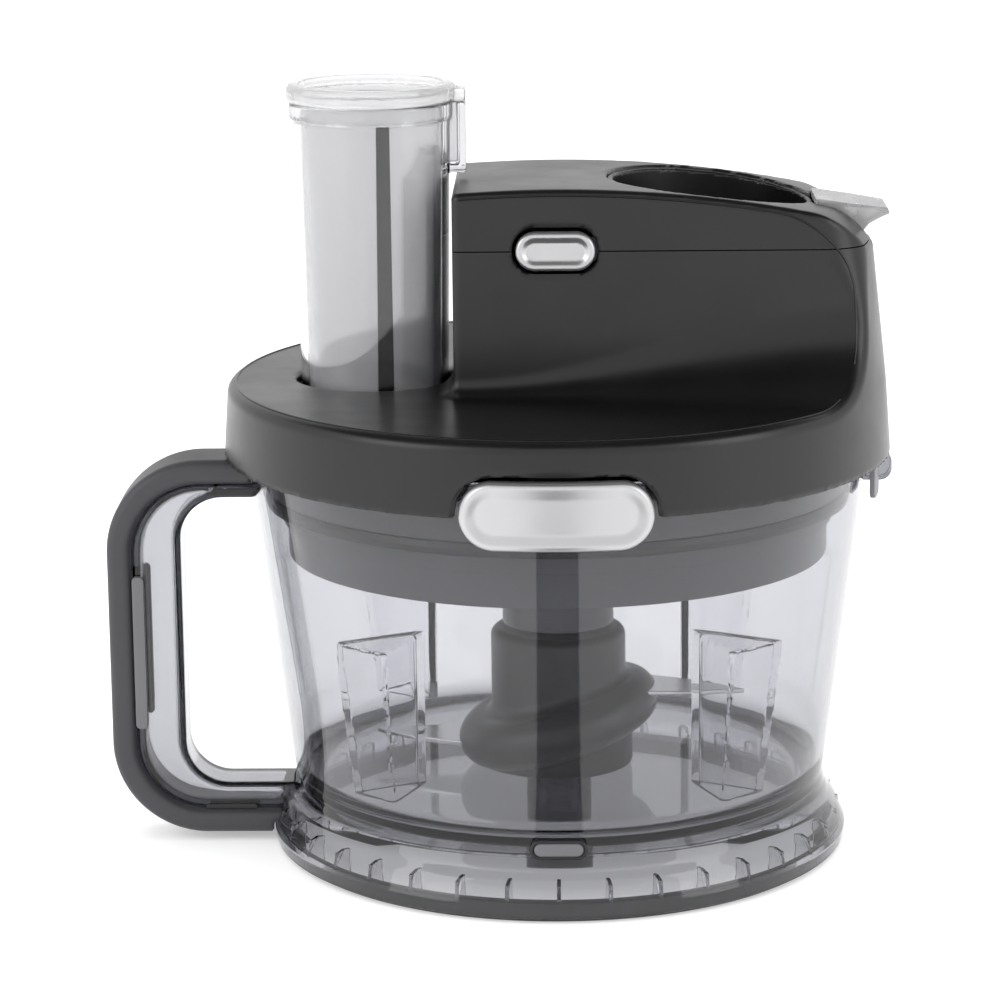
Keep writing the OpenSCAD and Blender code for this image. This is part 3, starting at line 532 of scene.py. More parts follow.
# %% [markdown]
# Small machined and moulded parts that can be seen need their edges broken. A copy of the CAD
# mesh is welded, its flat facets are merged, and a narrow bevel rounds the sharp edges.

# %% Softened copies of CAD parts
def softened(node, body, width):
    piece = placed(node + "_soft", frame["nodes"][node].data.copy())
    bm = bmesh.new()
    bm.from_mesh(piece.data)
    bmesh.ops.remove_doubles(bm, verts=bm.verts, dist=1e-6)
    bmesh.ops.dissolve_limit(bm, angle_limit=math.radians(0.5), verts=bm.verts, edges=bm.edges)
    bm.to_mesh(piece.data)
    bm.free()
    if piece.data.has_custom_normals:
        piece.data.attributes.remove(piece.data.attributes["custom_normal"])
    return dress(finish_surface(bevelled(piece, width, angle=35.0)), body, slot_of[node], node)


# %% [markdown]
# The bowl is one injection moulding: a straight drafted wall with a rim lip, a filleted floor,
# a boss for the spindle and a skirt that flares to the foot. It is turned from one outline.

# %% Bowl
FLARE_R = 16.0         # the skirt flares out along this arc
BOSS_R = 9.0           # raised seat round the spindle
SPINDLE_R = 4.0


def make_bowl():
    seat_r = skirt_r - BOWL_WALL
    flare = [(neck_r + FLARE_R * (1 - math.cos(a)), neck_z - FLARE_R * math.sin(a), 8.0)
             for a in (math.radians(d) for d in (42, 28, 14, 0))]
    outline = [
        (0, bowl_low[2], 0), (10, bowl_low[2], 0.5), (10, floor_under, 1.0),
        (neck_r - 7.2, floor_under, 2.0), (neck_r - 3.7, floor_under - 3, 2.0),
        (seat_r, ring_high[2] + 1, 1.5), (seat_r, 1.5, 0.3), (skirt_r - 0.5, 1.5, 0.4),
        (skirt_r, 5.0, 2.0), *flare,
        (wall_r(bowl_h - LIP_H - 2), bowl_h - LIP_H - 2, 1.0),
        (bowl_r + LIP_OUT, bowl_h - LIP_H, 0.8), (bowl_r + LIP_OUT, bowl_h, 0.9),
        (wall_r(bowl_h) - BOWL_WALL, bowl_h, 0.7),
        (wall_r(floor_top) - BOWL_WALL, floor_top, 8.0), (BOSS_R, floor_top, 0.8),
        (BOSS_R, floor_top + 0.8, 0.3), (SPINDLE_R, floor_top + 0.8, 0), (SPINDLE_R, 6, 0),
        (0, 6, 0)]
    shell = turned("bowl_shell", outline, segments=256, steps=8)
    return dress(shell, "bowl_body", "smoked_clear", "bowl")


make_bowl()


# %% [markdown]
# Stiffening ribs stand inside the skirt, equally spaced, with their feet on the base ring. One
# rib is modelled and set round the axis by nodes, which keep the count as a named input.

# %% Skirt ribs
RIB_COUNT, RIB_DEPTH, RIB_T, RIB_H = 36, 6.0, 1.2, 5.5


def nodes_modifier(piece, group, values):
    """Adds a Geometry Nodes modifier whose inputs are set by socket, then bakes it."""
    modifier = piece.modifiers.new(group.name, "NODES")
    modifier.node_group = group
    sockets = {s.name: s.identifier for s in group.interface.items_tree if s.in_out == "INPUT"}
    for key, value in values.items():
        modifier[sockets[key]] = value
    return baked(piece)


def geometry_group(name, material, inputs):
    """Node group with named inputs whose last two nodes make the instances real and set the
    material. Returns the group, its input node and the first of those two."""
    tree = bpy.data.node_groups.new(name, "GeometryNodeTree")
    face = tree.interface
    face.new_socket("Geometry", in_out="INPUT", socket_type="NodeSocketGeometry")
    for label, kind, value in inputs:
        face.new_socket(label, in_out="INPUT", socket_type=kind).default_value = value
    face.new_socket("Geometry", in_out="OUTPUT", socket_type="NodeSocketGeometry")
    source, result = tree.nodes.new("NodeGroupInput"), tree.nodes.new("NodeGroupOutput")
    real = tree.nodes.new("GeometryNodeRealizeInstances")
    paint = add_node(tree, "GeometryNodeSetMaterial", {"Material": material})
    wire(tree, (real, "Geometry", paint, "Geometry"), (paint, "Geometry", result, "Geometry"))
    return tree, source, real


def around_group(material):
    """Node group that repeats a piece round the upright axis."""
    tree, source, real = geometry_group("round_the_axis", material,
                                        [("Count", "NodeSocketInt", RIB_COUNT)])
    line = add_node(tree, "GeometryNodeMeshLine", {"Offset": (0, 0, 0)})
    index = tree.nodes.new("GeometryNodeInputIndex")
    share, angle = tree.nodes.new("ShaderNodeMath"), tree.nodes.new("ShaderNodeMath")
    share.operation, angle.operation = "DIVIDE", "MULTIPLY"
    angle.inputs[1].default_value = 2 * math.pi
    turn = tree.nodes.new("ShaderNodeCombineXYZ")
    place = tree.nodes.new("GeometryNodeInstanceOnPoints")
    wire(tree, (source, "Count", line, "Count"), (index, "Index", share, 0),
         (source, "Count", share, 1), (share, 0, angle, 0), (angle, 0, turn, "Z"),
         (line, "Mesh", place, "Points"), (source, "Geometry", place, "Instance"),
         (turn, "Vector", place, "Rotation"), (place, "Instances", real, "Geometry"))
    return tree


def bevelled_bar(name, corners, bottom, top, width):
    """Upright bar with the given outline (x, y) and softened edges, in millimetres."""
    verts = [(x * MM, y * MM, z * MM) for z in (bottom, top) for x, y in corners]
    return bevelled(make_object(name, verts, prism_faces(len(corners))), width)


seat_r = skirt_r - BOWL_WALL
near, far, half = seat_r - RIB_DEPTH, seat_r + 0.3, RIB_T / 2
ribs = bevelled_bar("skirt_ribs", [(near, -half), (far, -half), (far, half), (near, half)],
                    ring_high[2], ring_high[2] + RIB_H, 0.25)
nodes_modifier(ribs, around_group(FINISH["smoked_clear"]), {"Count": RIB_COUNT})
finish_surface(ribs)
dress(ribs, "bowl_body", "smoked_clear")


# %% [markdown]
# The handle is a clear frame with a dark C-shaped grip round its outside and soft pads at the
# sides. All of them share one side outline, so they are fields of that outline, given a width
# and rounded edges. The frame is hollow, with an even wall, and runs a little into the bowl.

# %% Handle
grip_x, grip_foot, top_z = grip_low[0], grip_low[2], grip_high[2]
GRIP_T, HANDLE_T = 7.5, 22.5            # grip alone, and grip with frame, seen from the side
CORNER, GAP_CORNER = 29.0, 13.0
GAP_LOW, GAP_HIGH = grip_foot + 15.5, top_z - 12.0
FRAME_WALL = 2.0
INSIDE_X, ARM_END = 60.0, -60.0         # outlines run on past the bowl's wall, skins end in it
SLOT_X, SLOT_Z, SLOT_HALF = -101.0, grip_foot + 8.2, 8.0


def handle_side(x, z, inset):
    """Field of the handle's side outline; it is open towards the bowl."""
    cx, cz = (grip_x + INSIDE_X) / 2, (grip_foot + top_z) / 2
    return round_rect(x - cx, z - cz, (INSIDE_X - grip_x) / 2 - inset,
                      (top_z - grip_foot) / 2 - inset, CORNER - inset)


def finger_gap(x, z):
    x0, x1 = grip_x + HANDLE_T, INSIDE_X
    return round_rect(x - (x0 + x1) / 2, z - (GAP_LOW + GAP_HIGH) / 2, (x1 - x0) / 2,
                      (GAP_HIGH - GAP_LOW) / 2, GAP_CORNER)


def bowl_outside(x, y, z):
    """Field of the bowl's outer skin: cylinder-like wall, lip and flared skirt."""
    r = np.hypot(x, y)
    wall = r - wall_r(z)
    lip = np.maximum(r - bowl_r - LIP_OUT, bowl_h - LIP_H - z)
    drop = np.clip(neck_z - z, 0, 10.0)
    flare = r - np.where(z < neck_z, neck_r + FLARE_R - np.sqrt(FLARE_R ** 2 - drop ** 2),
                         neck_r)
    skirt = np.maximum(r - skirt_r, z - 6.0)
    body = np.where(z > neck_z, wall, np.minimum(flare, skirt))
    return np.minimum(body, lip)


def grip_field(x, y, z):
    shape = cross(handle_side(x, z, 0.0), -handle_side(x, z, GRIP_T), 0.5)
    shape = cross(shape, np.abs(y) - grip_high[1], 2.6)
    return cross(shape, 0.3 - bowl_outside(x, y, z), 0.4)


def frame_field(x, y, z):
    side = cross(handle_side(x, z, GRIP_T + 0.05), -finger_gap(x, z), 2.2)
    across = np.abs(y) - frame_high[1]
    shape = np.maximum(cross(side, across, 1.6), -0.25 - bowl_outside(x, y, z))
    core = cross(side + FRAME_WALL, across + FRAME_WALL, 0.8)
    core = np.maximum(core, FRAME_WALL - bowl_outside(x, y, z))
    return np.maximum(shape, -core)


def pad_field(x, y, z):
    low, high = box_mm("grip_pads")
    shape = round_rect(x - (low[0] + high[0]) / 2, z - (low[2] + high[2]) / 2,
                       (high[0] - low[0]) / 2, (high[2] - low[2]) / 2, 1.4)
    return cross(shape, np.abs(np.abs(y) - high[1] + 1) - 1, 0.45)


def slot_painted_shade(x, y, z):
    """Short near-black strips on both faces of the handle's lower arm: painted shade where the
    slots are, half proud of the face, not cut in.
    """
    face = round_rect(x - SLOT_X, z - SLOT_Z, SLOT_HALF, 0.7, 0.6)
    return cross(face, np.abs(np.abs(y) - frame_high[1]) - 0.25, 0.15)


skin("grip_strip", grip_field, grip_low, (ARM_END, *grip_high[1:]), 0.9,
     "bowl_body", "grip_charcoal", "handle_grip", shaded=False)
skin("clear_frame", frame_field, frame_low, (ARM_END, *frame_high[1:]), 0.9,
     "bowl_body", "smoked_clear", "handle_frame", look="frame_clear", shaded=False)
skin("soft_pads", pad_field, *box_mm("grip_pads"), 0.6, "bowl_body", "pad_grey", "grip_pads",
     shaded=False)
# Painted shade: near-black slabs sit on the frame where the slots are, in place of real cuts.
reach = np.array([SLOT_HALF + 0.2, frame_high[1] + 0.3, 1.0])
skin("arm_slot_painted_shade", slot_painted_shade, (SLOT_X, 0, SLOT_Z) - reach, (SLOT_X, 0, SLOT_Z) + reach, 0.3,
     "bowl_body", "grip_charcoal", look="hub_grey", shaded=False)


# %% [markdown]
# The lid is one dark moulding, split at a thin seam into a housing and a cap. The tower's sides
# sink into the disc through a hollow whose radius grows towards the far end, and every outer
# edge is rounded. The same field, set in by the wall, gives the inside.

# %% Lid and tower
CROWN_R = 390.0                         # the tower's top is a very large arc
RIM_DRAFT, TOWER_DRAFT = 0.07, 0.11     # how fast the rim and the tower's end lean in
WALL = 3.0
SEAM_GAP = 0.35
side_y = tower_y - 0.7


def lid_cone(x, y, z):
    return np.hypot(x, y) - (lid_r - (np.minimum(z, disc_z) - lid_z) * RIM_DRAFT
                             - np.maximum(z - disc_z, 0) * TOWER_DRAFT)


def crown(x, z):
    return np.hypot(x, z - crown_z + CROWN_R) - CROWN_R


def ease(x, a, b):
    t = np.clip((x - a) / (b - a), 0, 1)
    return t * t * (3 - 2 * t)


def lid_solid(x, y, z, inset):
    slab = cross(np.abs(y) - side_y + inset, tower_x0 + inset - x, 2.0)
    hollow = 5.0 + 23.0 * ease(x, tower_x0, 92.0) if inset == 0 else 1.5
    upper = join(z - disc_z + inset, slab, hollow)
    upper = cross(upper, crown(x, z) + inset, max(1.6 - inset, 0.4))
    corner = 3.0 + 9.0 * ease(z, 165.0, 196.0) - inset
    return cross(upper, lid_cone(x, y, z) + inset, np.maximum(corner, 0.5))


def pill(u, v, width, height):
    return np.hypot(np.maximum(np.abs(u) - (width - height) / 2, 0), v) - height / 2


def pill_of(x, z, low, high, grow=0.0):
    """Pill that fills a box seen from the front, widened all round by grow."""
    return pill(x, z - (low[2] + high[2]) / 2, high[0] - low[0] + 2 * grow,
                high[2] - low[2] + 2 * grow)


release_low, release_high = box_mm("release_button")
key_low, key_high = box_mm("lid_button")
BUTTON_GAP = 0.9
TUBE_UNDER = 0.6                        # the tube's hole is this much smaller than its mouth
NOTCH_X, NOTCH_Y, NOTCH_Z = 76.4, 12.6, 184.9


def lever_notch(x, y, z):
    """Cut in the tower's far end that the thumb lever rocks in."""
    return np.maximum(np.maximum(NOTCH_X - x, np.abs(y) - NOTCH_Y), NOTCH_Z - z)


def lid_field(x, y, z):
    shape = np.maximum(np.maximum(lid_solid(x, y, z, 0.0), -lid_solid(x, y, z, WALL)), lid_z - z)
    tube_hole = np.hypot(x - tube_x, y) - (tube_rim_r - TUBE_UNDER)
    shape = cross(shape, -np.maximum(tube_hole, x - tower_x0 - 0.5), 1.3)
    socket_hole = np.maximum(np.hypot(x - socket_x, y) - socket_out - 0.1, seam_z - 20 - z)
    shape = cross(shape, -socket_hole, 0.9)
    release = pill_of(x, z, release_low, release_high, BUTTON_GAP)
    shape = cross(shape, -np.maximum(release, y + side_y - 5), 1.0)
    key = pill_of(x, z, key_low, key_high, BUTTON_GAP)
    shape = cross(shape, -np.maximum(key, y + lid_r - 14), 1.2)
    return cross(shape, -lever_notch(x, y, z), 0.7)


lid_shell = skinned("lid_shell", lid_field, (-lid_r - 1, -lid_r - 1, lid_z - 0.5),
                    (lid_r + 1, lid_r + 1, crown_z + 0.5), 1.15)


def kept_side(name, source, height, keep_above):
    """Copy of a closed shell on one side of a level, with its cut wall closed flat."""
    piece = placed(name, source.data.copy())
    bm = bmesh.new()
    bm.from_mesh(piece.data)
    done = bmesh.ops.bisect_plane(bm, geom=bm.verts[:] + bm.edges[:] + bm.faces[:], dist=1e-6,
                                  plane_co=(0, 0, height * MM), plane_no=(0, 0, 1),
                                  clear_outer=not keep_above, clear_inner=keep_above)
    rim = [g for g in done["geom_cut"] if isinstance(g, bmesh.types.BMEdge)]
    bmesh.ops.triangle_fill(bm, edges=rim, use_beauty=True, use_dissolve=False)
    bmesh.ops.recalc_face_normals(bm, faces=bm.faces)
    for face in bm.faces:
        face.smooth = bool(abs(face.calc_center_median().z - height * MM) > 1e-5)
    open_edges = sum(1 for e in bm.edges if not e.is_manifold)
    bm.to_mesh(piece.data)
    bm.free()
    piece.data.set_sharp_from_angle(angle=math.radians(50))
    print(f"{name}: {len(piece.data.polygons)} faces, {open_edges} open edges")
    return piece


housing = kept_side("lid_housing_skin", lid_shell, seam_z - SEAM_GAP, keep_above=False)
cap = kept_side("tower_cap_skin", lid_shell, seam_z, keep_above=True)
bpy.data.objects.remove(lid_shell)
dress(housing, "lid", "lid_charcoal", "lid_housing")
dress(cap, "lid", "lid_charcoal", "tower_cap")


# %% [markdown]
# A fine raised bead outlines the tower's side: along the top edge, round the far corner, down
# to the disc and round the rim. It lies where the lid's skin meets a second surface set just
# inside the outer edge. Rough guess points are drawn onto both surfaces, then nodes sweep a
# small circle along them.

# %% Crease bead
BEAD_R, BEAD_STEP = 0.32 * MM, 1.0 * MM


def sweep_group(material):
    """Node group that sweeps a round bead along a path of points."""
    tree, source, real = geometry_group("bead_along_path", material,
                                        [("Radius", "NodeSocketFloat", BEAD_R),
                                         ("Spacing", "NodeSocketFloat", BEAD_STEP)])
    curve = tree.nodes.new("GeometryNodeMeshToCurve")
    even = tree.nodes.new("GeometryNodeResampleCurve")
    even.mode = "LENGTH"
    circle = add_node(tree, "GeometryNodeCurvePrimitiveCircle", {"Resolution": 8})
    sweep = add_node(tree, "GeometryNodeCurveToMesh", {"Fill Caps": True})
    wire(tree, (source, "Geometry", curve, "Mesh"), (curve, "Curve", even, "Curve"),
         (source, "Spacing", even, "Length"), (source, "Radius", circle, "Radius"),
         (even, "Curve", sweep, "Curve"), (circle, "Curve", sweep, "Profile Curve"),
         (sweep, "Mesh", real, "Geometry"))
    return tree


def inner_edge(x, y, z):
    """Zero on the line that the bead follows, once on the lid's skin."""
    bend = 2.0 + 16.0 * ease(z, 150.0, 180.0)
    return cross(crown(x, z) + 1.7, lid_cone(x, y, z) + 2.5, bend)


def drawn_onto(points, fields, rounds=12):
    """Moves points to where all the fields are zero."""
    p = np.array(points, float)
    for _ in range(rounds):
        values, slopes = [], []
        for f in fields:
            values.append(f(*p.T))
            slopes.append(slope(f, p))
        J = np.stack(slopes, 1)
        v = np.stack(values, 1)
        lhs = J @ J.transpose(0, 2, 1) + np.eye(len(fields)) * 1e-4
        move = np.linalg.solve(lhs, v[..., None])
        p -= np.clip((J.transpose(0, 2, 1) @ move)[..., 0], -3, 3)
    return p


def crown_height(x):
    return crown_z - CROWN_R + math.sqrt(CROWN_R ** 2 - x * x)


guess = [(x, -side_y, crown_height(x) - 1.7) for x in np.linspace(tower_x0 + 2, 64, 44)]
guess += [(64 + 18 * math.sin(a), -side_y, crown_height(74) - 19 + 18 * math.cos(a))
          for a in np.linspace(0.15, 1.5, 14)]
guess += [(84, -side_y, z) for z in np.linspace(176, 164, 7)]
guess += [(86, -side_y - 4 * t * t - 2 * t, 162 - 17 * t) for t in np.linspace(0, 1, 14)]
guess += [(95 * math.cos(a), 95 * math.sin(a), disc_z)
          for a in np.radians(np.linspace(-32, -180, 150))]
half = drawn_onto(guess, [lambda x, y, z: lid_solid(x, y, z, 0.0), inner_edge])
loop = np.concatenate([half, half[::-1][1:] * (1, -1, 1)]) * MM
bead = make_object("crease_bead", loop, [], [(i, i + 1) for i in range(len(loop) - 1)])
nodes_modifier(bead, sweep_group(FINISH["lid_charcoal"]), {"Radius": BEAD_R, "Spacing": BEAD_STEP})
finish_surface(bead)
dress(bead, "lid", "lid_charcoal")


# %% [markdown]
# The socket for the motor part is a cup whose top edge follows the crowned top of the tower.
# It has a wide bore with a ledge to seat the motor part, and a narrower well below.

# %% Motor socket
SOCKET_WALL, SEAT_LEDGE, SOCKET_LIP = 1.8, 2.4, 1.2
socket_floor = socket_low[2] + 2.0
socket_seat = socket_floor + 15.0


def socket_field(x, y, z):
    r = np.hypot(x - socket_x, y)
    shape = cross(r - socket_out, socket_low[2] - z, 1.0)
    shape = cross(shape, crown(x, z) + SOCKET_LIP - 0.4, 0.5)
    bore = np.maximum(r - socket_out + SOCKET_WALL, socket_seat - z)
    well = np.maximum(r - socket_out + SOCKET_WALL + SEAT_LEDGE, socket_floor - z)
    hollow = np.minimum(np.minimum(bore, well), np.maximum(r - 5.0, z - socket_floor - 1))
    return np.maximum(cross(shape, -hollow, 0.6), -lever_notch(x, y, z))


skin("socket_cup", socket_field, socket_low, socket_high, 0.9,
     "lid", "socket_black", "motor_socket")


# %% [markdown]
# The feed tube is a tall clear tube with a thickened band at its mouth and a channel on its
# tower side. The pusher is a clear cup that fits inside it, with a wide flange on top and a
# key that runs in the channel. Both are fields, since the channel breaks their roundness.
# A narrow near-black strip on the front of the cup's wall is a painted reflection: it stands in
# for the dark upright line that the glossy tube reflects.

# %% Feed tube and pusher
TUBE_WALL, PUSHER_GAP, TAPER = 2.0, 0.45, 0.014
KEY_W, CHANNEL_Z = 5.6, disc_z + 62
STRIP_LOW, STRIP_HIGH, STRIP_AT = 141.5, 222.5, math.radians(12)
tube_r = tube_rim_r - 0.9
mouth_z = tube_high[2]
band_z = mouth_z - 4.8
key_x = tube_high[0]
flange_top = pusher_high[2]
flange_r = pusher_high[1]


def tube_wall_r(z):
    return tube_r - (mouth_z - z) * TAPER


def tube_field(x, y, z):
    r = np.hypot(x - tube_x, y)
    ends = np.maximum(tube_low[2] - z, z - mouth_z)
    barrel = np.maximum(r - tube_wall_r(z), ends)
    band = cross(r - tube_rim_r, np.maximum(band_z - z, z - mouth_z), 0.6)
    box = np.maximum(np.abs(y) - KEY_W / 2 - 2, np.maximum(x - key_x, tube_x - x))
    box = cross(box, np.maximum(CHANNEL_Z - z, z - mouth_z), 0.8)
    shape = join(join(barrel, band, 0.6), box, 0.6)
    bore = r - tube_wall_r(z) + TUBE_WALL
    channel = np.maximum(np.abs(y) - KEY_W / 2, np.maximum(x - key_x + 1.8, tube_x - x))
    channel = np.maximum(channel, CHANNEL_Z + 2 - z)
    return cross(shape, -np.minimum(bore, channel), 0.5)


def pusher_field(x, y, z):
    r = np.hypot(x - tube_x, y)
    body = tube_wall_r(z) - TUBE_WALL - PUSHER_GAP
    low = pusher_low[2]
    barrel = cross(r - body, low - z, 1.6)
    barrel = np.maximum(barrel, z - mouth_z - 1)
    flange = cross(r - flange_r, np.abs(z - (flange_top + mouth_z) / 2 - 0.05)
                   - (flange_top - mouth_z) / 2 + 0.05, 1.7)
    shape = np.minimum(barrel, flange)
    key = np.maximum(np.abs(y) - KEY_W / 2 + 0.5, np.maximum(x - key_x + 2.3, tube_x - x))
    key = cross(key, np.maximum(CHANNEL_Z + 3 - z, z - flange_top + 1), 0.4)
    tab = np.maximum(np.abs(y) - KEY_W / 2 - 1.2, np.maximum(x - key_x, tube_x - x))
    tab = cross(tab, np.maximum(mouth_z + 0.1 - z, z - flange_top + 1.6), 0.8)
    shape = np.minimum(shape, np.minimum(key, tab))
    body_mouth = tube_wall_r(mouth_z) - TUBE_WALL - PUSHER_GAP
    cup = cross(r - body + 2.1 + 0.4 * (mouth_z - z) / 90, low + 2 - z, 3.0)
    rim = np.maximum(r - body_mouth - 0.5, flange_top - 2.5 - z)
    return cross(shape, -np.minimum(cup, rim), 0.7)


skin("feed_tube_wall", tube_field, tube_low, tube_high, 0.8,
     "lid", "smoked_clear", "feed_tube", look="tube_clear")
skin("pusher_cup", pusher_field, pusher_low, pusher_high, 0.8,
     "pusher", "silvered_clear", "pusher")


def painted_reflection_strip():
    """Narrow near-black strip on the front of the pusher's wall, slightly wider at its foot: a
    painted reflection of a dark upright line.
    """
    rings = []
    for z, half_w in ((STRIP_LOW, 2.3), (STRIP_HIGH, 1.9)):
        r = tube_wall_r(z) - TUBE_WALL - PUSHER_GAP
        spread = np.linspace(-half_w / r, half_w / r, 9)
        ring = [(r + 0.24, a) for a in spread] + [(r - 0.3, a) for a in spread[::-1]]
        rings += [((tube_x + radius * math.sin(STRIP_AT + turn)) * MM,
                   -radius * math.cos(STRIP_AT + turn) * MM, z * MM) for radius, turn in ring]
    strip = make_object("pusher_painted_reflection", rings, prism_faces(len(rings) // 2))
    return finish_surface(bevelled(strip, 0.08))


# Painted reflection: this dark strip sits on the wall where a dark reflected line is seen.
dress(painted_reflection_strip(), "pusher", "grip_charcoal", look="hub_grey")


# %% [markdown]
# Two satin silver keys: a wide one on the rim, bent to the rim's curve, opens the lid, and a
# small flat one on the tower frees the motor part. Both are pills with a soft shallow dish.

# %% Keys
def key_field(x, y, z):
    face = pill_of(x, z, key_low, key_high)
    r = np.hypot(x, y)
    front = r - (-key_low[1]) + 0.7 * ease(-face, 1.4, 5.0)
    shape = cross(face, front, 1.5)
    return np.maximum(np.maximum(shape, -key_low[1] - 4.0 - r), y)


def release_field(x, y, z):
    face = pill_of(x, z, release_low, release_high)
    front = release_low[1] - y + 1.0 * ease(-face, 1.3, 3.4)
    return np.maximum(cross(face, front, 1.1), y - release_high[1])


skin("lid_key_cap", key_field, key_low, key_high, 0.7, "lid_key", "silver_key", "lid_button")
skin("release_key_cap", release_field, release_low, release_high, 0.5,
     "release_key", "silver_key", "release_button")


# %% [markdown]
# The thumb lever at the far end is a thick clear wedge with a lip to push on. Its side outline
# is a polygon, widened across the tower and rounded all over.

# %% Thumb lever
def polygon_field(x, z, points):
    """Flat signed distance to a closed polygon."""
    best = np.full(np.broadcast(x, z).shape, 1e9)
    inside = np.zeros(best.shape, bool)
    for (x1, z1), (x2, z2) in zip(points, points[1:] + points[:1]):
        ex, ez = x2 - x1, z2 - z1
        t = np.clip(((x - x1) * ex + (z - z1) * ez) / (ex * ex + ez * ez), 0, 1)
        best = np.minimum(best, np.hypot(x - x1 - t * ex, z - z1 - t * ez))
        between = (z1 <= z) != (z2 <= z)
        level = x1 + (z - z1) * ex / (ez if ez else 1e-9)
        inside ^= between & (x < level)
    return np.where(inside, -best, best)


lever_low, lever_high = box_mm("end_lever")
pin_low, pin_high = box_mm("lever_pin")
pin_x, pin_z = (pin_low[0] + pin_high[0]) / 2, (pin_low[2] + pin_high[2]) / 2
LEVER_SIDE = [(-9.8, 8.1), (11.5, 4.9), (12.3, 3.2), (9.7, 2.2), (6.1, 0.4), (3.4, -2.6),
              (1, -4), (-2, -2.4), (-9.8, 5.6)]


def lever_field(x, y, z):
    side = polygon_field(x - pin_x, z - pin_z, LEVER_SIDE)
    across = np.abs(y) - lever_high[1] + 0.24 * np.maximum(x - pin_x - 2, 0)
    return cross(side, across, 0.8)


skin("thumb_lever_clear", lever_field, lever_low, lever_high, 0.5,
     "thumb_lever", "frosted_clear", "end_lever", shaded=False)


# %% [markdown]
# The blade hub is a sleeve with a round-edged wing set at a slant, blended in with a fillet.
# The wing lifts food back towards the knives. A lobed socket in its top takes the drive dog.

# %% Blade hub
HUB_R, HUB_SKIRT, TILT, WING_T = 20.6, 2.2, math.radians(16), 15.0
hub_top = hub_high[2]
wing_z = hub_low[2] + 14
wing_r = hub_high[1]


def hub_field(x, y, z):
    r = np.hypot(x, y)
    sleeve = r - HUB_R - HUB_SKIRT * (1 - ease(z, wing_z - 2, wing_z + 2))
    sleeve = cross(sleeve, z - hub_top, 2.5)
    sleeve = cross(sleeve, hub_low[2] - z, 0.8)
    along = x * math.cos(TILT) + (z - wing_z) * math.sin(TILT)
    lift = (z - wing_z) * math.cos(TILT) - x * math.sin(TILT)
    disc = np.hypot(along, y)
    wing = np.hypot(np.maximum(disc - wing_r + WING_T / 2, 0), lift) - WING_T / 2
    shape = join(sleeve, wing, 3.0)
    turn = np.arctan2(y, x)
    dog = np.maximum(r - 9.0 - 1.6 * np.cos(6 * turn), hub_top - 15 - z)
    pin = np.maximum(r - 6.5, z - hub_top + 16)
    return cross(shape, -np.minimum(dog, pin), 0.5)


skin("hub_and_wing", hub_field, hub_low, hub_high, 0.9, "blade", "hub_grey", "blade_hub")
for knife in ("upper_knife", "lower_knife"):
    softened(knife, "blade", 0.3)


# %% [markdown]
# Under the bowl a dark rubber ring carries the weight, and a soft ring seals the lid's collar.
# Both are turned. The collar, the clear ear and the lid's guide tab are softened copies of
# their CAD shapes. The small plug at the front of the neck is a pale face in a dark rim.

# %% Rings and small parts
ring_out, ring_in = ring_high[0], ring_high[0] - 6.5
foot = turned("foot_ring", [(ring_in, 1.0, 0.3), (ring_in + 1, 0, 0.6), (ring_out - 1, 0, 0.6),
                            (ring_out - 0.05, 1.0, 0.3), (ring_out - 0.05, ring_high[2], 0.4),
                            (ring_in, ring_high[2], 0.4)])
dress(foot, "bowl_body", "base_rubber", "base_ring")
seal_low, seal_high = box_mm("lid_seal")
seal_r, seal_mid = seal_high[0], (seal_low[2] + seal_high[2]) / 2
seal = turned("collar_seal", [(seal_r - 3.4, seal_low[2], 0), (seal_r - 0.6, seal_low[2], 0.5),
                              (seal_r, seal_mid, 1.0), (seal_r - 0.6, seal_high[2], 0.5),
                              (seal_r - 3.4, seal_high[2], 0)])
dress(seal, "lid", "base_rubber", "lid_seal")
softened("lid_inner_cover", "lid", 0.35)
softened("rear_lug", "bowl_body", 0.6)
softened("lid_guide_tab", "lid", 0.6)

tab_low, tab_high = box_mm("base_tab")


def tab_face(x, y, z):
    face = pill(x, z - (tab_low[2] + tab_high[2]) / 2, tab_high[0] - tab_low[0] - 2.4,
                tab_high[2] - tab_low[2] - 2.0)
    return np.maximum(cross(face, tab_low[1] - y, 0.8), y - tab_low[1] - 4)


def tab_rim(x, y, z):
    face = pill_of(x, z, tab_low, tab_high)
    shape = cross(face, tab_low[1] + 0.35 - y, 0.6)
    return np.maximum(np.maximum(shape, -face - 1.05), y - tab_low[1] - 4)


skin("tab_face", tab_face, tab_low, tab_high, 0.4, "bowl_body", "pad_grey", "base_tab",
     shaded=False)
skin("tab_rim", tab_rim, tab_low, tab_high, 0.35, "bowl_body", "base_rubber", shaded=False)


# %% [markdown]
# Four upright ridges on the wall turn the food back towards the knives. They are hollow and
# thin, so they stay clear and only their edges show. One quarter is described and mirrored.

# %% Stirring ridges
RIDGE_WALL, RIDGE_AT = 1.3, math.radians(48)
ridge_top = box_mm("wall_baffles")[1][2]
ridge_r = box_mm("upper_knife")[1][0] + 1.8


def ridge_field(x, y, z):
    u = np.abs(x) * math.cos(RIDGE_AT) + np.abs(y) * math.sin(RIDGE_AT)
    v = np.abs(y) * math.cos(RIDGE_AT) - np.abs(x) * math.sin(RIDGE_AT)
    lean = math.atan2(bowl_r * math.sin(math.radians(7.5)), bowl_r - ridge_r)
    nose = np.hypot(v, 1.2) - 1.2
    wedge = nose * math.cos(lean) - (u - ridge_r) * math.sin(lean)
    room = cross(np.hypot(x, y) - wall_r(z) + BOWL_WALL, floor_top - z, 8.0)
    shape = np.maximum(cross(wedge, z - ridge_top, 0.9), room - 0.12)
    core = np.maximum(np.maximum(wedge, z - ridge_top), room) + RIDGE_WALL
    return np.maximum(shape, -core)


skin("stirring_ridges", ridge_field, *box_mm("wall_baffles"), 0.85,
     "bowl_body", "smoked_clear", "wall_baffles", look="ridge_clear", shaded=False)


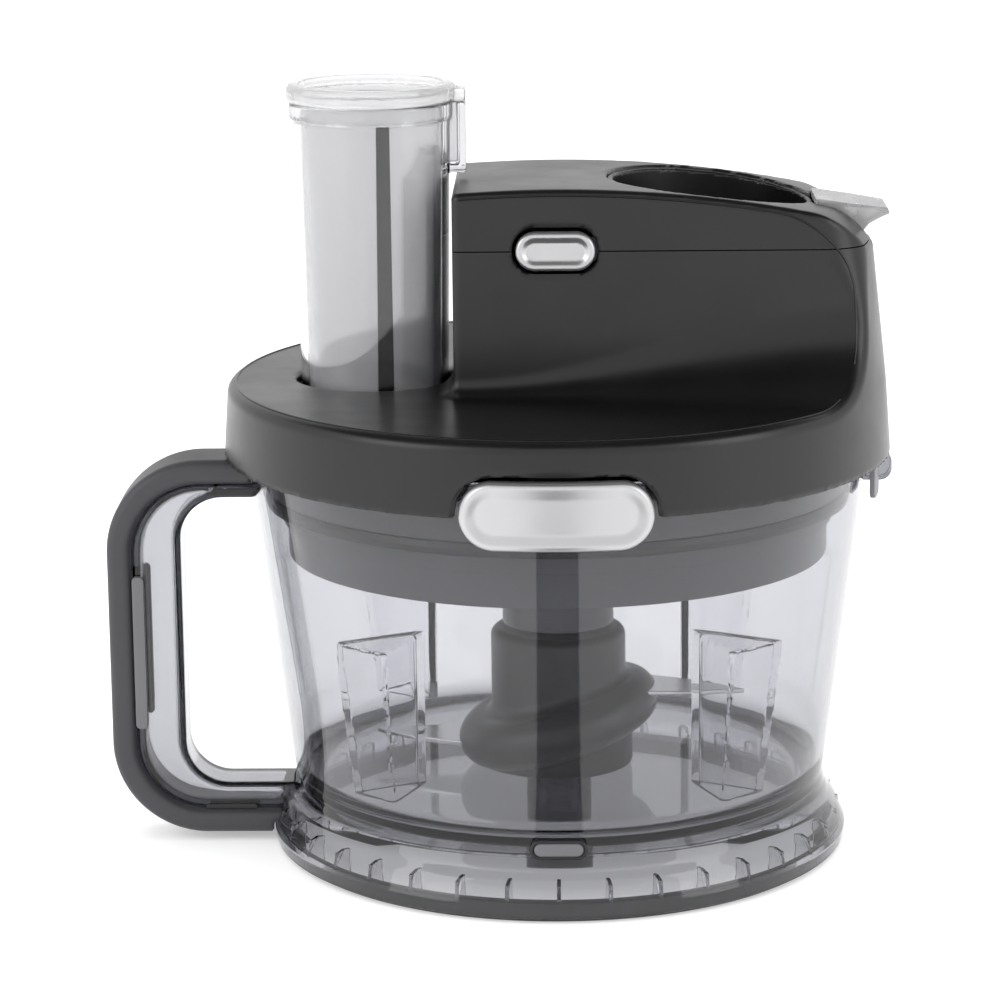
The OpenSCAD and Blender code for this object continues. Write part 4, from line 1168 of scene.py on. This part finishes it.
# %% [markdown]
# The studio is plain: one large pale floor, lit a little from below like a light table, a white
# surround, and soft panels of light. A dark wedge-shaped card lies on the floor in front of
# the object, and a dark flag hangs overhead. Both are seen only by mirror-like rays. The card
# draws the dark upright line that round glossy walls show in a product studio, and widens with
# distance, which keeps the line as wide from top to bottom. The flag deepens upward hollows.

# %% Studio
def plain_material(name, colour, glow=0.0):
    mat = bpy.data.materials.new(name)
    mat.use_nodes = True
    set_inputs(mat.node_tree.nodes["Principled BSDF"], {
        "Base Color": (*colour, 1), "Roughness": 0.9, "Specular IOR Level": 0.0,
        "Emission Color": (1, 1, 1, 1), "Emission Strength": glow})
    return mat


def sheet(name, corners, material, mirror_only=False):
    """Flat four-cornered sheet. One for mirrors only is unseen by every other kind of ray."""
    piece = make_object(name, corners, [(0, 1, 2, 3)])
    piece.data.materials.append(material)
    if mirror_only:
        piece.visible_camera = piece.visible_diffuse = piece.visible_shadow = False
        piece.visible_transmission = piece.visible_volume_scatter = False
    return piece


def level_corners(x0, x1, y0, y1, z):
    return [(x0, y0, z), (x1, y0, z), (x1, y1, z), (x0, y1, z)]


NEAR, FAR, SPREAD, CARD_Z = 0.12, 0.56, 0.118, 0.0006
DARK = (0.005, 0.005, 0.005)
floor = sheet("floor", level_corners(-9, 9, -9, 9, 0),
              plain_material("floor_paper", (0.80, 0.80, 0.80), glow=0.36))
wedge = [(side * d * SPREAD, -d, CARD_Z)
         for d, side in ((NEAR, -1), (NEAR, 1), (FAR, 1), (FAR, -1))]
bowl_card = sheet("bowl_card", wedge, plain_material("bowl_card", DARK), mirror_only=True)
flag = sheet("flag", level_corners(-1.2, 1.2, -1.0, 0.8, 1.1), plain_material("flag", DARK),
             mirror_only=True)

world = bpy.data.worlds.new("studio")
world.use_nodes = True
world.node_tree.nodes["Background"].inputs["Color"].default_value = (1.0, 1.0, 1.0, 1)
world.node_tree.nodes["Background"].inputs["Strength"].default_value = 1.06
bpy.context.scene.world = world


def soft_light(name, place, target, size, power):
    lamp = bpy.data.lights.new(name, "AREA")
    lamp.shape = "RECTANGLE"
    lamp.size, lamp.size_y = size
    lamp.energy = power
    holder = placed(name, lamp)
    holder.location = place
    holder.rotation_euler = (Vector(target) - Vector(place)).to_track_quat("-Z", "Y").to_euler()
    return holder


MIDDLE = (0, 0, 0.1)
soft_light("top_panel", (0.0, 0.15, 1.5), MIDDLE, (1.6, 1.2), 9.0)
soft_light("left_panel", (-1.3, -0.9, 0.9), MIDDLE, (0.9, 1.2), 7.0)
soft_light("right_panel", (1.3, -0.7, 0.8), MIDDLE, (0.7, 1.2), 5.0)
print("studio:", floor.name, bowl_card.name, flag.name, "and three panels of light")


# %% [markdown]
# The camera stands about a metre away, a little above the lid, with a long lens.

# %% Camera
DISTANCE = 1.1
ELEVATION = math.radians(13.04)
AZIMUTH = math.radians(1.1)
ROLL = math.radians(-0.587)
LENS = 130.25
SHIFT_RIGHT, SHIFT_UP = -0.01745, -0.0047
focus = Vector((0, 0, 0.110))
away = Vector((math.sin(AZIMUTH) * math.cos(ELEVATION), -math.cos(AZIMUTH) * math.cos(ELEVATION),
               math.sin(ELEVATION)))
camera = placed("camera", bpy.data.cameras.new("camera"))
camera.data.lens = LENS
camera.data.sensor_width = 36.0
turn = (-away).to_track_quat("-Z", "Y").to_matrix()
right, up = turn.col[0], turn.col[1]
aim = right * SHIFT_RIGHT + up * SHIFT_UP
camera.matrix_world = (Matrix.Translation(focus + away * DISTANCE + aim)
                       @ turn.to_4x4() @ Matrix.Rotation(ROLL, 4, "Z"))
scene = bpy.context.scene
scene.camera = camera
scene.view_settings.view_transform = "Standard"
scene.view_settings.look = "None"
print("camera:", DISTANCE, "m away with a lens of", LENS, "mm")
